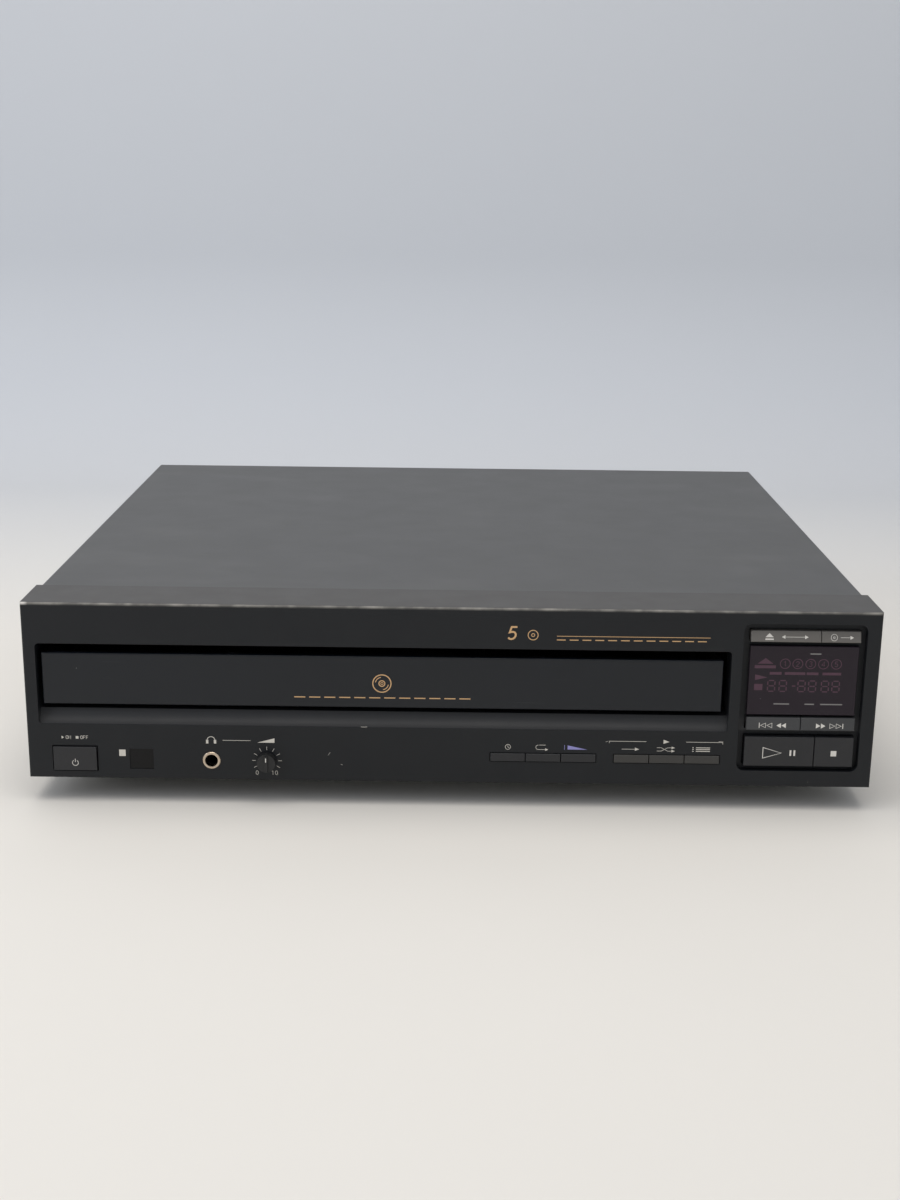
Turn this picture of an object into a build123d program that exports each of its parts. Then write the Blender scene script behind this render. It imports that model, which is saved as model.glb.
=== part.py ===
from build123d import *
from math import acos, cos, floor, pi, radians, sin, tan
import os

# A full width disc changer: a moulded front panel, a folded steel case and a drawer
# that carries a five place carousel over a lifting pickup unit.
# Frame: +X is to the right seen from the front, +Y is to the rear, +Z is up, and the
# origin is on the floor under the middle of the whole object.
# Depths are counted from the panel's front face to the rear, and heights from the
# panel's bottom edge, which stands FOOT_HEIGHT above the floor.

# The width and depth of the case follow from five discs lying side by side: pockets,
# carousel, tray, drawer front, drawer opening, panel.

# ---- Case ----
MARGIN_LEFT = 6.3
MARGIN_RIGHT = 7.1
PILLAR = 5.4
PANEL_HEIGHT = 93.0
PANEL_DEPTH = 34.0
PANEL_WALL = 2.4
FACE_WALL = 3.0
PANEL_EDGE_RADIUS = 1.0
PANEL_FLOOR_DEPTH = 20.0
REAR_ROOM = 21.0
FOOT_HEIGHT = 13.0
FOOT_RADIUS = 18.5
FOOT_BASE_RADIUS = 17.0
FOOT_SIDE_INSET = 38.0
FOOT_SETBACK = 55.0
FOOT_REAR_INSET = 55.0
STEEL = 1.0
COVER_STEEL = 0.8
COVER_STEP = 1.4
COVER_DROP = 0.6
COVER_JOINT = 0.3
COVER_BEND = 2.0
COVER_LIP = 11.0
CHASSIS_LIFT = 1.0
CHASSIS_INSET = 3.4
CHASSIS_FLANGE = 12.0
FLANGE_SETBACK = 2.4
TAB_LEFT_INSET = 50.0
TAB_RIGHT_INSET = 40.0
TAB_MIDDLES = (-40.0, 60.0)
TAB_WIDTH = 24.0
TAB_REACH = 6.0
POST_INSET = 10.0
KNOB_PROUD = 6.0
JACK_PROUD = 9.0

# ---- Screws ----
SCREW_RADIUS = 1.5
SCREW_HOLE_RADIUS = 1.7
SCREW_HEAD_RADIUS = 4.0
SCREW_HEAD = 1.3
SCREW_REACH = 4.0
SCREW_CROSS = 0.9
SIDE_SCREW_HEIGHT = 9.0
SIDE_SCREW_FRONT = 90.0
SIDE_SCREW_REAR_INSET = 46.0
REAR_SCREW_HEIGHT = 86.0
REAR_SCREW_INSET = 35.0
FOOT_SCREW_HEAD_RADIUS = 3.5
FOOT_SCREW_SEAT = 5.0
FOOT_SCREW_ROOM = 1.0

# ---- Drawer opening and its scooped sill ----
OPENING_GAP_LEFT = 2.3
OPENING_GAP_RIGHT = 3.5
OPENING_TOP = 71.8
OPENING_CORNER = 2.0
SILL_LIP = 29.2
SILL_TOP = 36.0
SILL_RUN = 6.0
SILL_CORNER = 5.0
# shares of the sill's run and rise at the middle of its scoop
SCOOP_ALONG = 0.62
SCOOP_UP = 0.38
# how far a cutting tool goes past the faces that it cuts
CUT_PAST = 1.0
TUNNEL_WALL = 2.0
TUNNEL_DEPTH = 14.0

# ---- Drawer ----
DRAWER_TRAVEL = 250.0
FASCIA_OVER = 0.35
FASCIA_LOW = 39.2
FASCIA_HIGH = 66.4
FASCIA_SET = 2.0
FASCIA_WALL = 3.0
FASCIA_EDGE = 0.8
FASCIA_BACK_WALL = 1.5
FASCIA_BACK_DROP = 2.0
TRAY_LOW = 44.0
TRAY_FLOOR = 2.5
TRAY_SIDE_WALL = 1.5
TRAY_SIDE_HEIGHT = 9.5
TRAY_REAR_ROOM = 12.0
RUNNER_WIDTH = 5.8
RAIL_GAP = 0.3
RAIL_WALL = 2.0
RAIL_LIP = 4.0
RAIL_FRONT = 16.0
RAIL_REAR_INSET = 3.0
WELL_HALF = 36.0
WELL_AHEAD = 21.5

# ---- Carousel ----
DISC_RADIUS = 60.0
SMALL_DISC_RADIUS = 40.0
POCKET_GAP = 0.6
# the thinnest wall between two pockets
POCKET_WALL = 0.4716
PLACES = 5
DISC_OVERHANG = 0.5
CAROUSEL_FRONT_ROOM = 10.5
CAROUSEL_SIDE_GAP = 1.2
CAROUSEL_LOW = 50.5
CAROUSEL_THICK = 6.0
DISC_SEAT = 54.0
SMALL_DISC_SEAT = 52.6
PLACE_WINDOW_HALF = 20.0
PLACE_WINDOW_INNER = 20.5
PLACE_WINDOW_CORNER = 4.0
HUB_POST_RADIUS = 6.0
HUB_SHOULDER_RADIUS = 12.0
CAP_RADIUS = 32.0
CAP_HEIGHT = 4.0

# ---- Gears and belts ----
# clearance round a shaft in its bore, and clear room beside or beyond a turning piece
SHAFT_GAP = 0.05
TURN_GAP = 0.3
PRESSURE_ANGLE = radians(20)
ADDENDUM = 0.8
DEDENDUM = 1.15
BACKLASH = 0.2
TABLE_MODULE = 1.5
RING_TEETH = 80
RING_HANG = 3.2
RING_WALL = 4.0
TABLE_GEAR_TEETH = 20
TABLE_GEAR_ANGLE = radians(45)
TABLE_SHAFT_RADIUS = 2.0
TABLE_PULLEY_RADIUS = 11.0
TABLE_MOTOR_ANGLE = radians(53.75)
TABLE_MOTOR_GAP = 11.0
RACK_MODULE = 1.5
PINION_TEETH = 16
RACK_LOW = 39.0
RACK_BACK = 5.0
PINION_LEFT = 49.45
PINION_DEPTH = 45.0
RACK_LEAD = 12.0
TRAIN_MODULE = 1.0
PINION_WHEEL_TEETH = 45
PULLEY_GEAR_TEETH = 15
TRAIN_LOW = 22.0
TRAIN_THICK = 4.0
GEAR_POST_RADIUS = 2.0
GEAR_POST_SHOULDER = 4.0
GEAR_POST_SHY = 1.0
PINION_HUB_RADIUS = 5.0
LOADING_PULLEY_RADIUS = 14.0
LOADING_PULLEY_LOW = 29.4
LOADING_MOTOR_RIGHT = 50.0
MOTOR_PULLEY_RADIUS = 4.0
PULLEY_FLANGE = 1.0
PULLEY_GROOVE = 2.2
PULLEY_RIM = 1.5
BELT_THICK = 1.0
BELT_WIDTH = 1.8
MOTOR_RADIUS = 12.0
MOTOR_EDGE = 1.0
MOTOR_SHAFT_RADIUS = 1.0
MOTOR_SHAFT_INSIDE = 12.0
TABLE_MOTOR_TALL = 13.0

# ---- Mechanism plate, lift and pickup ----
PLATE_LOW = 6.0
PLATE_THICK = 2.5
PLATE_FRONT = 64.0
PLATE_BEYOND_TRAY = 1.0
TONGUE_FRONT = 37.0
TONGUE_BEYOND_PINION = 26.0
TONGUE_BEYOND_MOTOR = 34.0
BRIDGE_LOW = 62.0
BRIDGE_THICK = 2.2
BRIDGE_AHEAD = 21.5
BRIDGE_BEHIND = 22.5
BRIDGE_RIB = 6.0
BRIDGE_RIB_WALL = 2.0
LIFT = 20.3
FRAME_HALF = 33.8
FRAME_AHEAD = 17.5
FRAME_BEHIND = 76.5
FRAME_LOW = 20.0
FRAME_WALL = 2.0
FRAME_RIM = 7.0
FRAME_REAR_RIM = 8.0
LUG_HALF = 2.0
LUG_THICK = 2.0
SKIRT_LOW = 11.0
GUIDE_POST_RADIUS = 2.0
GUIDE_POST_TOP = 43.0
GUIDE_POST_X = 27.0
GUIDE_POST_INSETS = (6.0, 8.0)
RUNNING_GAP = 0.08
LIFT_PIN_RADIUS = 1.5
LIFT_PIN_HEIGHT = 14.0
LIFT_PIN_INSETS = (19.0, 17.0)
LIFT_PIN_LENGTH = 7.2
SLOT_GAP = 0.1
SLIDER_OUT = 40.6
SLIDER_WALL = 2.0
SLIDER_AHEAD = 8.0
SLIDER_SHORT = 10.0
SLIDER_TOP = 38.0
SLIDER_FOOT = 10.0
SLIDER_GAP = 0.3
SPINDLE_MOTOR_HEIGHT = 7.0
SPINDLE_RADIUS = 1.5
SPINDLE_FLOOR = 2.0
TURNTABLE_RADIUS = 13.0
TURNTABLE_SEAT = 37.0
TURNTABLE_RIM = 1.2
TURNTABLE_HUB_RADIUS = 4.5
CONE_RADIUS = 7.35
CONE_TIP_RADIUS = 5.1
CONE_HEIGHT = 3.0
CONE_GAP = 1.0
CLAMPER_LOW = 58.5
CLAMPER_RADIUS = 11.0
CLAMPER_FLANGE = 15.5
CLAMPER_FLANGE_THICK = 2.0
CLAMPER_HOLE = 13.0
ROD_RADIUS = 1.5
ROD_X = 17.0
ROD_HEIGHT = 27.0
ROD_BEHIND_SPINDLE = 4.5
SLED_START_GAP = 3.5
SLED_LENGTH = 18.0
SLED_LOW = 24.5
SLED_THICK = 4.8
SLED_BEYOND_ROD = 2.0
SLED_TRAVEL = 36.0
SLED_END_GAP = 0.5
LENS_INSET = 6.5
LENS_RADIUS = 3.6
LENS_LOW = 32.9
LENS_THICK = 2.2
LENS_DROP = 1.1
LENS_BLOCK_HALF = 9.0
LENS_BLOCK_LENGTH = 16.0
LENS_BLOCK_RISE = 0.4
SLED_MODULE = 0.5
SLED_PINION_TEETH = 16
SLED_PINION_BEHIND = 19.0
SLED_GEAR_THICK = 2.8
SLED_SHAFT_REACH = 2.0
SLED_RACK_PITCH_X = 23.0
SLED_RACK_LEAD = 5.0
SLED_MOTOR_RADIUS = 6.0
SLED_MOTOR_TALL = 9.5

# ---- Display and keys ----
CLUSTER_WIDTH = 61.7
CLUSTER_LOW = 8.5
CLUSTER_HIGH = 86.5
CLUSTER_CORNER = 4.0
CLUSTER_SINK = 4.5
CLUSTER_WALL = 2.5
WINDOW_INSET_LEFT = 3.8
WINDOW_INSET_RIGHT = 3.3
WINDOW_LOW = 38.3
WINDOW_HIGH = 74.7
WINDOW_FACE = 1.5
WINDOW_BORDER = 3.0
TUBE_MARGIN = 2.0
TUBE_THICK = 4.4
TUBE_EDGE = 1.0
KEY_GAP = 0.3
KEY_FLANGE = 1.0
KEY_LIP = 1.2
KEY_TRAVEL = 0.8
KEY_SPARE = 0.1
KEY_EDGE = 0.4
SWITCH_SIZE = 6.0
SWITCH_BODY = 3.5
SWITCH_NIB = 0.5
BOARD = 1.6
CLUSTER_KEY_FACE = 0.4
TRIO_LOW = 12.1
TRIO_HIGH = 16.4
TRIO_PROUD = 0.6
TRIO_WIDTH = 17.7
# how far each trio starts left of the drawer opening's right side
TRIO_LEFT_START = 120.1
TRIO_RIGHT_START = 57.2
TRIO_NAMES = ("time_key", "repeat_key", "fade_key", "continue_key", "shuffle_key", "program_key")

# Each key: its left and right edge from the well's left side, its low and high edge, and
# how far its top edge leans to the rear.
KEY_SPANS = {
    "open_close_key": (3.7, 38.8, 77.0, 82.6, 1.6),
    "disc_skip_key": (39.1, 58.7, 77.0, 82.6, 1.6),
    "track_back_key": (3.9, 31.2, 30.4, 37.0, 0.5),
    "track_forward_key": (31.5, 58.8, 30.4, 37.0, 0.5),
    "play_pause_key": (3.6, 39.0, 11.0, 26.7, 0.3),
    "stop_key": (39.3, 59.1, 11.0, 26.7, 0.3),
}

# ---- Left end of the panel: places are counted from the panel's left edge ----
POWER_INSET = 12.9
POWER_WIDTH = 22.1
POWER_LOW = 4.4
POWER_HIGH = 17.1
POWER_MARGIN = 0.5
POWER_PROUD = 1.0
POWER_TRAVEL = 3.5
POWER_STEM = 14.0
POWER_STEM_RADIUS = 2.5
POWER_SWITCH_DEPTH = 22.0
POWER_SWITCH_LENGTH = 28.0
POWER_SWITCH_WIDTH = 12.0
SENSOR_INSET = 51.8
SENSOR_WIDTH = 12.0
SENSOR_LOW = 5.3
SENSOR_HIGH = 16.2
SENSOR_SET = 0.4
SENSOR_LIP = 1.0
JACK_INSET = 93.5
JACK_HEIGHT = 10.5
JACK_BORE_RADIUS = 3.25
JACK_RING_RADIUS = 4.6
JACK_RING_PROUD = 0.6
JACK_RING_CHAMFER = 0.3
JACK_BODY_WIDTH = 14.0
JACK_BODY_LENGTH = 30.0
JACK_END_WALL = 2.4
KNOB_INSET = 121.8
KNOB_HEIGHT = 10.7
KNOB_RADIUS = 4.7
KNOB_DISH = 1.2
KNOB_GRIP = 1.6
KNOB_LIFT = 0.4
KNOB_SHAFT_RADIUS = 2.0
KNOB_SHAFT_END = 13.0
LEVEL_BODY_WIDTH = 14.0
LEVEL_BUSH_RADIUS = 3.4
LEVEL_BODY_FRONT = 8.0

# ---- Rear ----
LINE_OUT_INSETS = (55.0, 73.0)
LINE_OUT_HEIGHT = 20.0
LINE_OUT_RADIUS = 4.15
LINE_OUT_BORE = 3.3
LINE_OUT_FLANGE = 6.0
LINE_OUT_MARGIN = 2.4
LINE_OUT_BLOCK_DEPTH = 14.0
GLAND_INSET = 30.0
GLAND_HEIGHT = 20.0
GLAND_RADIUS = 3.6
GLAND_WALL = 1.6
GLAND_FLANGE = 7.5
GLAND_INSIDE = 13.0
GLAND_PROUD = 2.5

# ---- Electronics ----
MAIN_BOARD_WIDTH = 58.0
MAIN_BOARD_INSET = 9.0
MAIN_BOARD_FRONT = 60.0
MAIN_BOARD_LOW = 8.0
CONTROL_BOARD_LIFT = 2.0
STANDOFF_RADIUS = 3.0
STANDOFF_INSET = 5.0
TRANSFORMER_WIDTH = 52.0
TRANSFORMER_INSET = 11.0
TRANSFORMER_REAR_ROOM = 34.0
TRANSFORMER_FRONT_ROOM = 8.0
TRANSFORMER_LENGTH = 44.0
TRANSFORMER_TALL = 46.0
TRANSFORMER_CORE = 20.0
TRANSFORMER_STEP = 8.0
TRANSFORMER_EDGE = 4.0
CHIP_TALL = 3.0
# Round capacitors: right of the board's left edge, behind its front edge, radius, height.
CAPACITORS = (
    (14.0, 20.0, 9.0, 22.0),
    (34.0, 20.0, 9.0, 22.0),
    (24.0, 48.0, 6.0, 14.0),
    (14.0, 150.0, 5.0, 12.0),
    (44.0, 150.0, 5.0, 12.0),
    (30.0, 178.0, 6.5, 16.0),
)
# Chips: right of the board's left edge, behind its front edge, width, length.
CHIPS = ((10.0, 74.0, 36.0, 14.0), (12.0, 104.0, 26.0, 26.0), (14.0, 196.0, 30.0, 10.0))

# ---- Carousel, tray and drawer, worked out from the discs ----
PLACE_CIRCLE = (DISC_RADIUS + POCKET_GAP + POCKET_WALL / 2) / sin(pi / PLACES)
CAROUSEL_RADIUS = PLACE_CIRCLE + DISC_RADIUS - DISC_OVERHANG
PLACE_WINDOW_START = PLACE_CIRCLE - PLACE_WINDOW_INNER
TRAY_HALF = CAROUSEL_RADIUS + CAROUSEL_SIDE_GAP + TRAY_SIDE_WALL
RUNNER_HALF = TRAY_HALF + RUNNER_WIDTH
FASCIA_WIDTH = 2 * (RUNNER_HALF + FASCIA_OVER)
FASCIA_REAR = FASCIA_SET + FASCIA_WALL
TRAY_FRONT = FASCIA_REAR + FASCIA_BACK_WALL
CAROUSEL_DEPTH = TRAY_FRONT + CAROUSEL_FRONT_ROOM + CAROUSEL_RADIUS
TRAY_REAR = CAROUSEL_DEPTH + CAROUSEL_RADIUS + TRAY_REAR_ROOM
TRAY_TOP = TRAY_LOW + TRAY_FLOOR
SPINDLE_DEPTH = CAROUSEL_DEPTH + PLACE_CIRCLE
WELL_FRONT = SPINDLE_DEPTH - WELL_AHEAD
RAIL_INNER = RUNNER_HALF + RAIL_GAP
RAIL_REAR = TRAY_REAR - RAIL_REAR_INSET

# ---- Panel and case, worked out from the drawer ----
OPENING_WIDTH = OPENING_GAP_LEFT + FASCIA_WIDTH + OPENING_GAP_RIGHT
PANEL_WIDTH = MARGIN_LEFT + OPENING_WIDTH + PILLAR + CLUSTER_WIDTH + MARGIN_RIGHT
PANEL_HALF = PANEL_WIDTH / 2
OPENING_LEFT = MARGIN_LEFT - PANEL_HALF
OPENING_RIGHT = OPENING_LEFT + OPENING_WIDTH
DRAWER_CENTRE = OPENING_LEFT + OPENING_GAP_LEFT + FASCIA_WIDTH / 2
CASE_DEPTH = TRAY_REAR + REAR_ROOM
TOTAL_DEPTH = KNOB_PROUD + CASE_DEPTH + JACK_PROUD
FRONT_Y = KNOB_PROUD - TOTAL_DEPTH / 2
FOOT_SPACING = PANEL_WIDTH - 2 * FOOT_SIDE_INSET
REAR_SCREW_SPACING = PANEL_HALF - REAR_SCREW_INSET
SIDE_SCREW_DEPTHS = (SIDE_SCREW_FRONT, CASE_DEPTH - SIDE_SCREW_REAR_INSET)
TAB_CENTRES = (TAB_LEFT_INSET - PANEL_HALF, *TAB_MIDDLES, PANEL_HALF - TAB_RIGHT_INSET)
COVER_HALF = PANEL_HALF - COVER_STEP
COVER_TOP = PANEL_HEIGHT - COVER_DROP
COVER_FRONT = PANEL_DEPTH + COVER_JOINT
CHASSIS_HALF = PANEL_HALF - CHASSIS_INSET
CHASSIS_TOP = CHASSIS_LIFT + STEEL
REAR_PANEL_DEPTH = CASE_DEPTH - COVER_STEEL - STEEL

# ---- Keys, sockets and electronics, worked out from the panel ----
CLUSTER_LEFT = OPENING_RIGHT + PILLAR
CLUSTER_RIGHT = CLUSTER_LEFT + CLUSTER_WIDTH
WINDOW_LEFT = CLUSTER_LEFT + WINDOW_INSET_LEFT
WINDOW_RIGHT = CLUSTER_RIGHT - WINDOW_INSET_RIGHT
CLUSTER_KEYS = {
    name: (CLUSTER_LEFT + start, CLUSTER_LEFT + end, low, high, lean)
    for name, (start, end, low, high, lean) in KEY_SPANS.items()
}
TRIO_STEP = TRIO_WIDTH + KEY_GAP
TRIO_LEFT_STARTS = [OPENING_RIGHT - TRIO_LEFT_START + TRIO_STEP * n for n in range(3)]
TRIO_RIGHT_STARTS = [OPENING_RIGHT - TRIO_RIGHT_START + TRIO_STEP * n for n in range(3)]
TRIO_KEYS = dict(zip(TRIO_NAMES, TRIO_LEFT_STARTS + TRIO_RIGHT_STARTS))
POWER_LEFT = POWER_INSET - PANEL_HALF
POWER_RIGHT = POWER_LEFT + POWER_WIDTH
SENSOR_LEFT = SENSOR_INSET - PANEL_HALF
SENSOR_RIGHT = SENSOR_LEFT + SENSOR_WIDTH
JACK_X = JACK_INSET - PANEL_HALF
KNOB_X = KNOB_INSET - PANEL_HALF
LINE_OUT_X = [inset - PANEL_HALF for inset in LINE_OUT_INSETS]
GLAND_X = PANEL_HALF - GLAND_INSET
MAIN_BOARD_RIGHT = PANEL_HALF - MAIN_BOARD_INSET
MAIN_BOARD_LEFT = MAIN_BOARD_RIGHT - MAIN_BOARD_WIDTH
TRANSFORMER_LEFT = PANEL_HALF - TRANSFORMER_INSET - TRANSFORMER_WIDTH
TRANSFORMER_FRONT = CASE_DEPTH - TRANSFORMER_REAR_ROOM - TRANSFORMER_LENGTH
MAIN_BOARD_REAR = TRANSFORMER_FRONT - TRANSFORMER_FRONT_ROOM

# ---- Mechanism, worked out from the tray and the spindle ----
PLATE_TOP = PLATE_LOW + PLATE_THICK
PLATE_REAR = TRAY_REAR + PLATE_BEYOND_TRAY
PINION_X = DRAWER_CENTRE - PINION_LEFT
LOADING_MOTOR_X = PINION_X + LOADING_MOTOR_RIGHT
TONGUE_LEFT = PINION_X - TONGUE_BEYOND_PINION
TONGUE_RIGHT = LOADING_MOTOR_X + TONGUE_BEYOND_MOTOR
TABLE_MOTOR_REACH = CAROUSEL_RADIUS + TABLE_MOTOR_GAP + MOTOR_RADIUS
TABLE_MOTOR_X = DRAWER_CENTRE + TABLE_MOTOR_REACH * cos(TABLE_MOTOR_ANGLE)
TABLE_MOTOR_DEPTH = CAROUSEL_DEPTH + TABLE_MOTOR_REACH * sin(TABLE_MOTOR_ANGLE)
BRIDGE_FRONT = SPINDLE_DEPTH - BRIDGE_AHEAD
BRIDGE_REAR = SPINDLE_DEPTH + BRIDGE_BEHIND
FRAME_FRONT = SPINDLE_DEPTH - FRAME_AHEAD
FRAME_REAR = SPINDLE_DEPTH + FRAME_BEHIND
GUIDE_POST_DEPTHS = (FRAME_FRONT + GUIDE_POST_INSETS[0], FRAME_REAR - GUIDE_POST_INSETS[1])
LIFT_PIN_DEPTHS = (FRAME_FRONT + LIFT_PIN_INSETS[0], FRAME_REAR - LIFT_PIN_INSETS[1])
SLIDER_FRONT = FRAME_FRONT - SLIDER_AHEAD
SLIDER_REAR = FRAME_REAR - SLIDER_SHORT
ROD_FRONT = SPINDLE_DEPTH + ROD_BEHIND_SPINDLE
SLED_FRONT = SPINDLE_DEPTH + MOTOR_RADIUS + SLED_START_GAP
SLED_PINION_DEPTH = SLED_FRONT + SLED_PINION_BEHIND
RACK_PITCH_X = PINION_X - RACK_MODULE * PINION_TEETH / 2
PULLEY_GEAR_DEPTH = PINION_DEPTH + TRAIN_MODULE * (PINION_WHEEL_TEETH + PULLEY_GEAR_TEETH) / 2
TABLE_GEAR_REACH = TABLE_MODULE * (RING_TEETH + TABLE_GEAR_TEETH) / 2
TABLE_GEAR_X = DRAWER_CENTRE + TABLE_GEAR_REACH * cos(TABLE_GEAR_ANGLE)
TABLE_GEAR_DEPTH = CAROUSEL_DEPTH + TABLE_GEAR_REACH * sin(TABLE_GEAR_ANGLE)
PULLEY_TALL = 2 * PULLEY_FLANGE + PULLEY_GROOVE
TABLE_PULLEY_LOW = TRAY_LOW - PULLEY_TALL - TURN_GAP
CLUSTER_BACK = CLUSTER_SINK + CLUSTER_WALL
SLED_PINION_X = SLED_RACK_PITCH_X + SLED_MODULE * SLED_PINION_TEETH / 2
SLED_RACK_FRONT = SLED_PINION_DEPTH - SLED_TRAVEL - SLED_RACK_LEAD
SLED_RACK_REAR = FRAME_REAR - FRAME_WALL - SLED_TRAVEL - SLED_END_GAP
LENS_DEPTH = SLED_FRONT + LENS_INSET
KEY_HIT = KEY_TRAVEL + KEY_SPARE


def at_depth(depth):
    """The Y of a point this far behind the panel's front face."""
    return FRONT_Y + depth


def at_height(height):
    """The Z of a point this far above the panel's bottom edge."""
    return FOOT_HEIGHT + height


def level(height):
    """A horizontal plane at a height on the panel, facing up."""
    return Plane.XY.offset(at_height(height))


def facing(depth):
    """An upright plane at a depth, facing the viewer, with X to the right and Z up."""
    return Plane.XZ.offset(-at_depth(depth))


def across(x):
    """An upright plane at an X, with Y to its right and Z up."""
    return Plane.YZ.offset(x)


def side_points(points):
    """Depth and height pairs as the Y and Z of a sketch on an across plane."""
    return [(at_depth(depth), at_height(height)) for depth, height in points]


def slab(left, right, front, rear, low, high, mode=Mode.ADD):
    """A block between two X, two depths and two heights, added to the open part or cut from it."""
    middle = ((left + right) / 2, at_depth((front + rear) / 2), at_height((low + high) / 2))
    with Locations(middle):
        Box(right - left, rear - front, high - low, mode=mode)


def upright(x, depth, radius, low, high, mode=Mode.ADD):
    """An upright round bar, added to the open part or cut from it."""
    with Locations((x, at_depth(depth), at_height((low + high) / 2))):
        Cylinder(radius, high - low, mode=mode)


def fore_aft(x, height, radius, front, rear, mode=Mode.ADD):
    """A round bar along the depth, added to the open part or cut from it."""
    with Locations((x, at_depth((front + rear) / 2), at_height(height))):
        Cylinder(radius, rear - front, rotation=(90, 0, 0), mode=mode)


def sideways(depth, height, radius, left, right, mode=Mode.ADD):
    """A round bar along X, added to the open part or cut from it."""
    with Locations(((left + right) / 2, at_depth(depth), at_height(height))):
        Cylinder(radius, right - left, rotation=(0, 90, 0), mode=mode)


def involute(radius, base):
    """How far an involute flank has turned, in radians, where it crosses this radius."""
    slant = acos(min(1.0, base / radius))
    return tan(slant) - slant


def gear_points(teeth, module, x, depth, turn, flank_steps):
    """Corners of a spur gear with involute flanks, one tooth pointing along the angle turn."""
    pitch = module * teeth / 2
    base = pitch * cos(PRESSURE_ANGLE)
    root = pitch - DEDENDUM * module
    tip = pitch + ADDENDUM * module
    start = max(root, base)
    half = (pi * module / 2 - BACKLASH) / (2 * pitch) + involute(pitch, base)
    radii = [start + (tip - start) * k / flank_steps for k in range(flank_steps + 1)]
    flank = [(r, half - involute(r, base)) for r in radii]
    if start > root:
        flank.insert(0, (root, half))
    points = []
    for tooth in range(teeth):
        middle = turn + 2 * pi * tooth / teeth
        points += [(r, middle - w) for r, w in flank]
        points += [(r, middle + w) for r, w in reversed(flank)]
    return [(x + r * cos(a), at_depth(depth) + r * sin(a)) for r, a in points]


def rack_points(module, pitch_x, front, rear, mesh_depth, back_x, first_and_last):
    """Corners of a straight rack whose teeth point along +X, one tooth level with mesh_depth."""
    step = pi * module
    half = (step / 2 - BACKLASH) / 2
    tip_half = half - ADDENDUM * module * tan(PRESSURE_ANGLE)
    root_half = half + DEDENDUM * module * tan(PRESSURE_ANGLE)
    tip_x = pitch_x + ADDENDUM * module
    root_x = pitch_x - DEDENDUM * module
    points = [(back_x, at_depth(front)), (root_x, at_depth(front))]
    for tooth in range(first_and_last[0], first_and_last[1] + 1):
        middle = at_depth(mesh_depth + tooth * step)
        points += [(root_x, middle - root_half), (tip_x, middle - tip_half)]
        points += [(tip_x, middle + tip_half), (root_x, middle + root_half)]
    points += [(root_x, at_depth(rear)), (back_x, at_depth(rear))]
    return points


def pulley(x, depth, radius, low):
    """A grooved pulley added to the open part: flange, groove and flange from low upwards."""
    groove = low + PULLEY_FLANGE
    upright(x, depth, radius + PULLEY_RIM, low, groove)
    upright(x, depth, radius, groove, groove + PULLEY_GROOVE)
    upright(x, depth, radius + PULLEY_RIM, groove + PULLEY_GROOVE, low + PULLEY_TALL)


def belt_area(ends, growth):
    """The area inside a belt: the hull of a circle round each pulley."""
    with BuildSketch() as hull:
        for x, depth, radius in ends:
            with Locations((x, at_depth(depth))):
                Circle(radius + growth)
        make_hull()
    return hull.sketch


def belt_solid(ends, pulley_low):
    """A flat belt round two pulleys, centred in their grooves."""
    low = pulley_low + PULLEY_FLANGE + (PULLEY_GROOVE - BELT_WIDTH) / 2
    loop = belt_area(ends, SHAFT_GAP + BELT_THICK) - belt_area(ends, SHAFT_GAP)
    return extrude(Pos(0, 0, at_height(low)) * loop, amount=BELT_WIDTH)


def screw(plane):
    """A screw added to the open part: its head stands on the plane and its shank goes through."""
    with BuildSketch(plane) as head:
        Circle(SCREW_HEAD_RADIUS)
    extrude(head.sketch, amount=SCREW_HEAD)
    with BuildSketch(plane) as shank:
        Circle(SCREW_RADIUS)
    extrude(shank.sketch, amount=-SCREW_REACH)
    with BuildSketch(plane.offset(SCREW_HEAD)) as cross:
        Rectangle(SCREW_HEAD_RADIUS, SCREW_CROSS)
        Rectangle(SCREW_CROSS, SCREW_HEAD_RADIUS)
    extrude(cross.sketch, amount=-SCREW_CROSS, mode=Mode.SUBTRACT)


os.makedirs("parts", exist_ok=True)

# ---- Drawer recess, as a cutting tool: a rounded opening over a scooped sill ----
with BuildPart() as recess_tool:
    with BuildSketch(facing(-CUT_PAST)) as opening_outline:
        with Locations(((OPENING_LEFT + OPENING_RIGHT) / 2, at_height((SILL_LIP + OPENING_TOP) / 2))):
            Rectangle(OPENING_RIGHT - OPENING_LEFT, OPENING_TOP - SILL_LIP)
        corners = opening_outline.vertices().group_by(Axis.Z)
        fillet(corners[-1], OPENING_CORNER)
        fillet(corners[0], SILL_CORNER)
    extrude(amount=-SILL_RUN - CUT_PAST)
    with BuildSketch(across(OPENING_LEFT - CUT_PAST)) as scoop:
        with BuildLine():
            above = OPENING_TOP + CUT_PAST
            lip = (at_depth(0), at_height(SILL_LIP))
            crest = (at_depth(SILL_RUN), at_height(SILL_TOP))
            dip_height = SILL_LIP + (SILL_TOP - SILL_LIP) * SCOOP_UP
            dip = (at_depth(SILL_RUN * SCOOP_ALONG), at_height(dip_height))
            outside = side_points([(SILL_RUN, above), (-CUT_PAST, above), (-CUT_PAST, SILL_LIP)])
            ThreePointArc(lip, dip, crest)
            Polyline(crest, *outside, lip)
        make_face()
    extrude(amount=OPENING_RIGHT - OPENING_LEFT + 2 * CUT_PAST, mode=Mode.INTERSECT)

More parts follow.
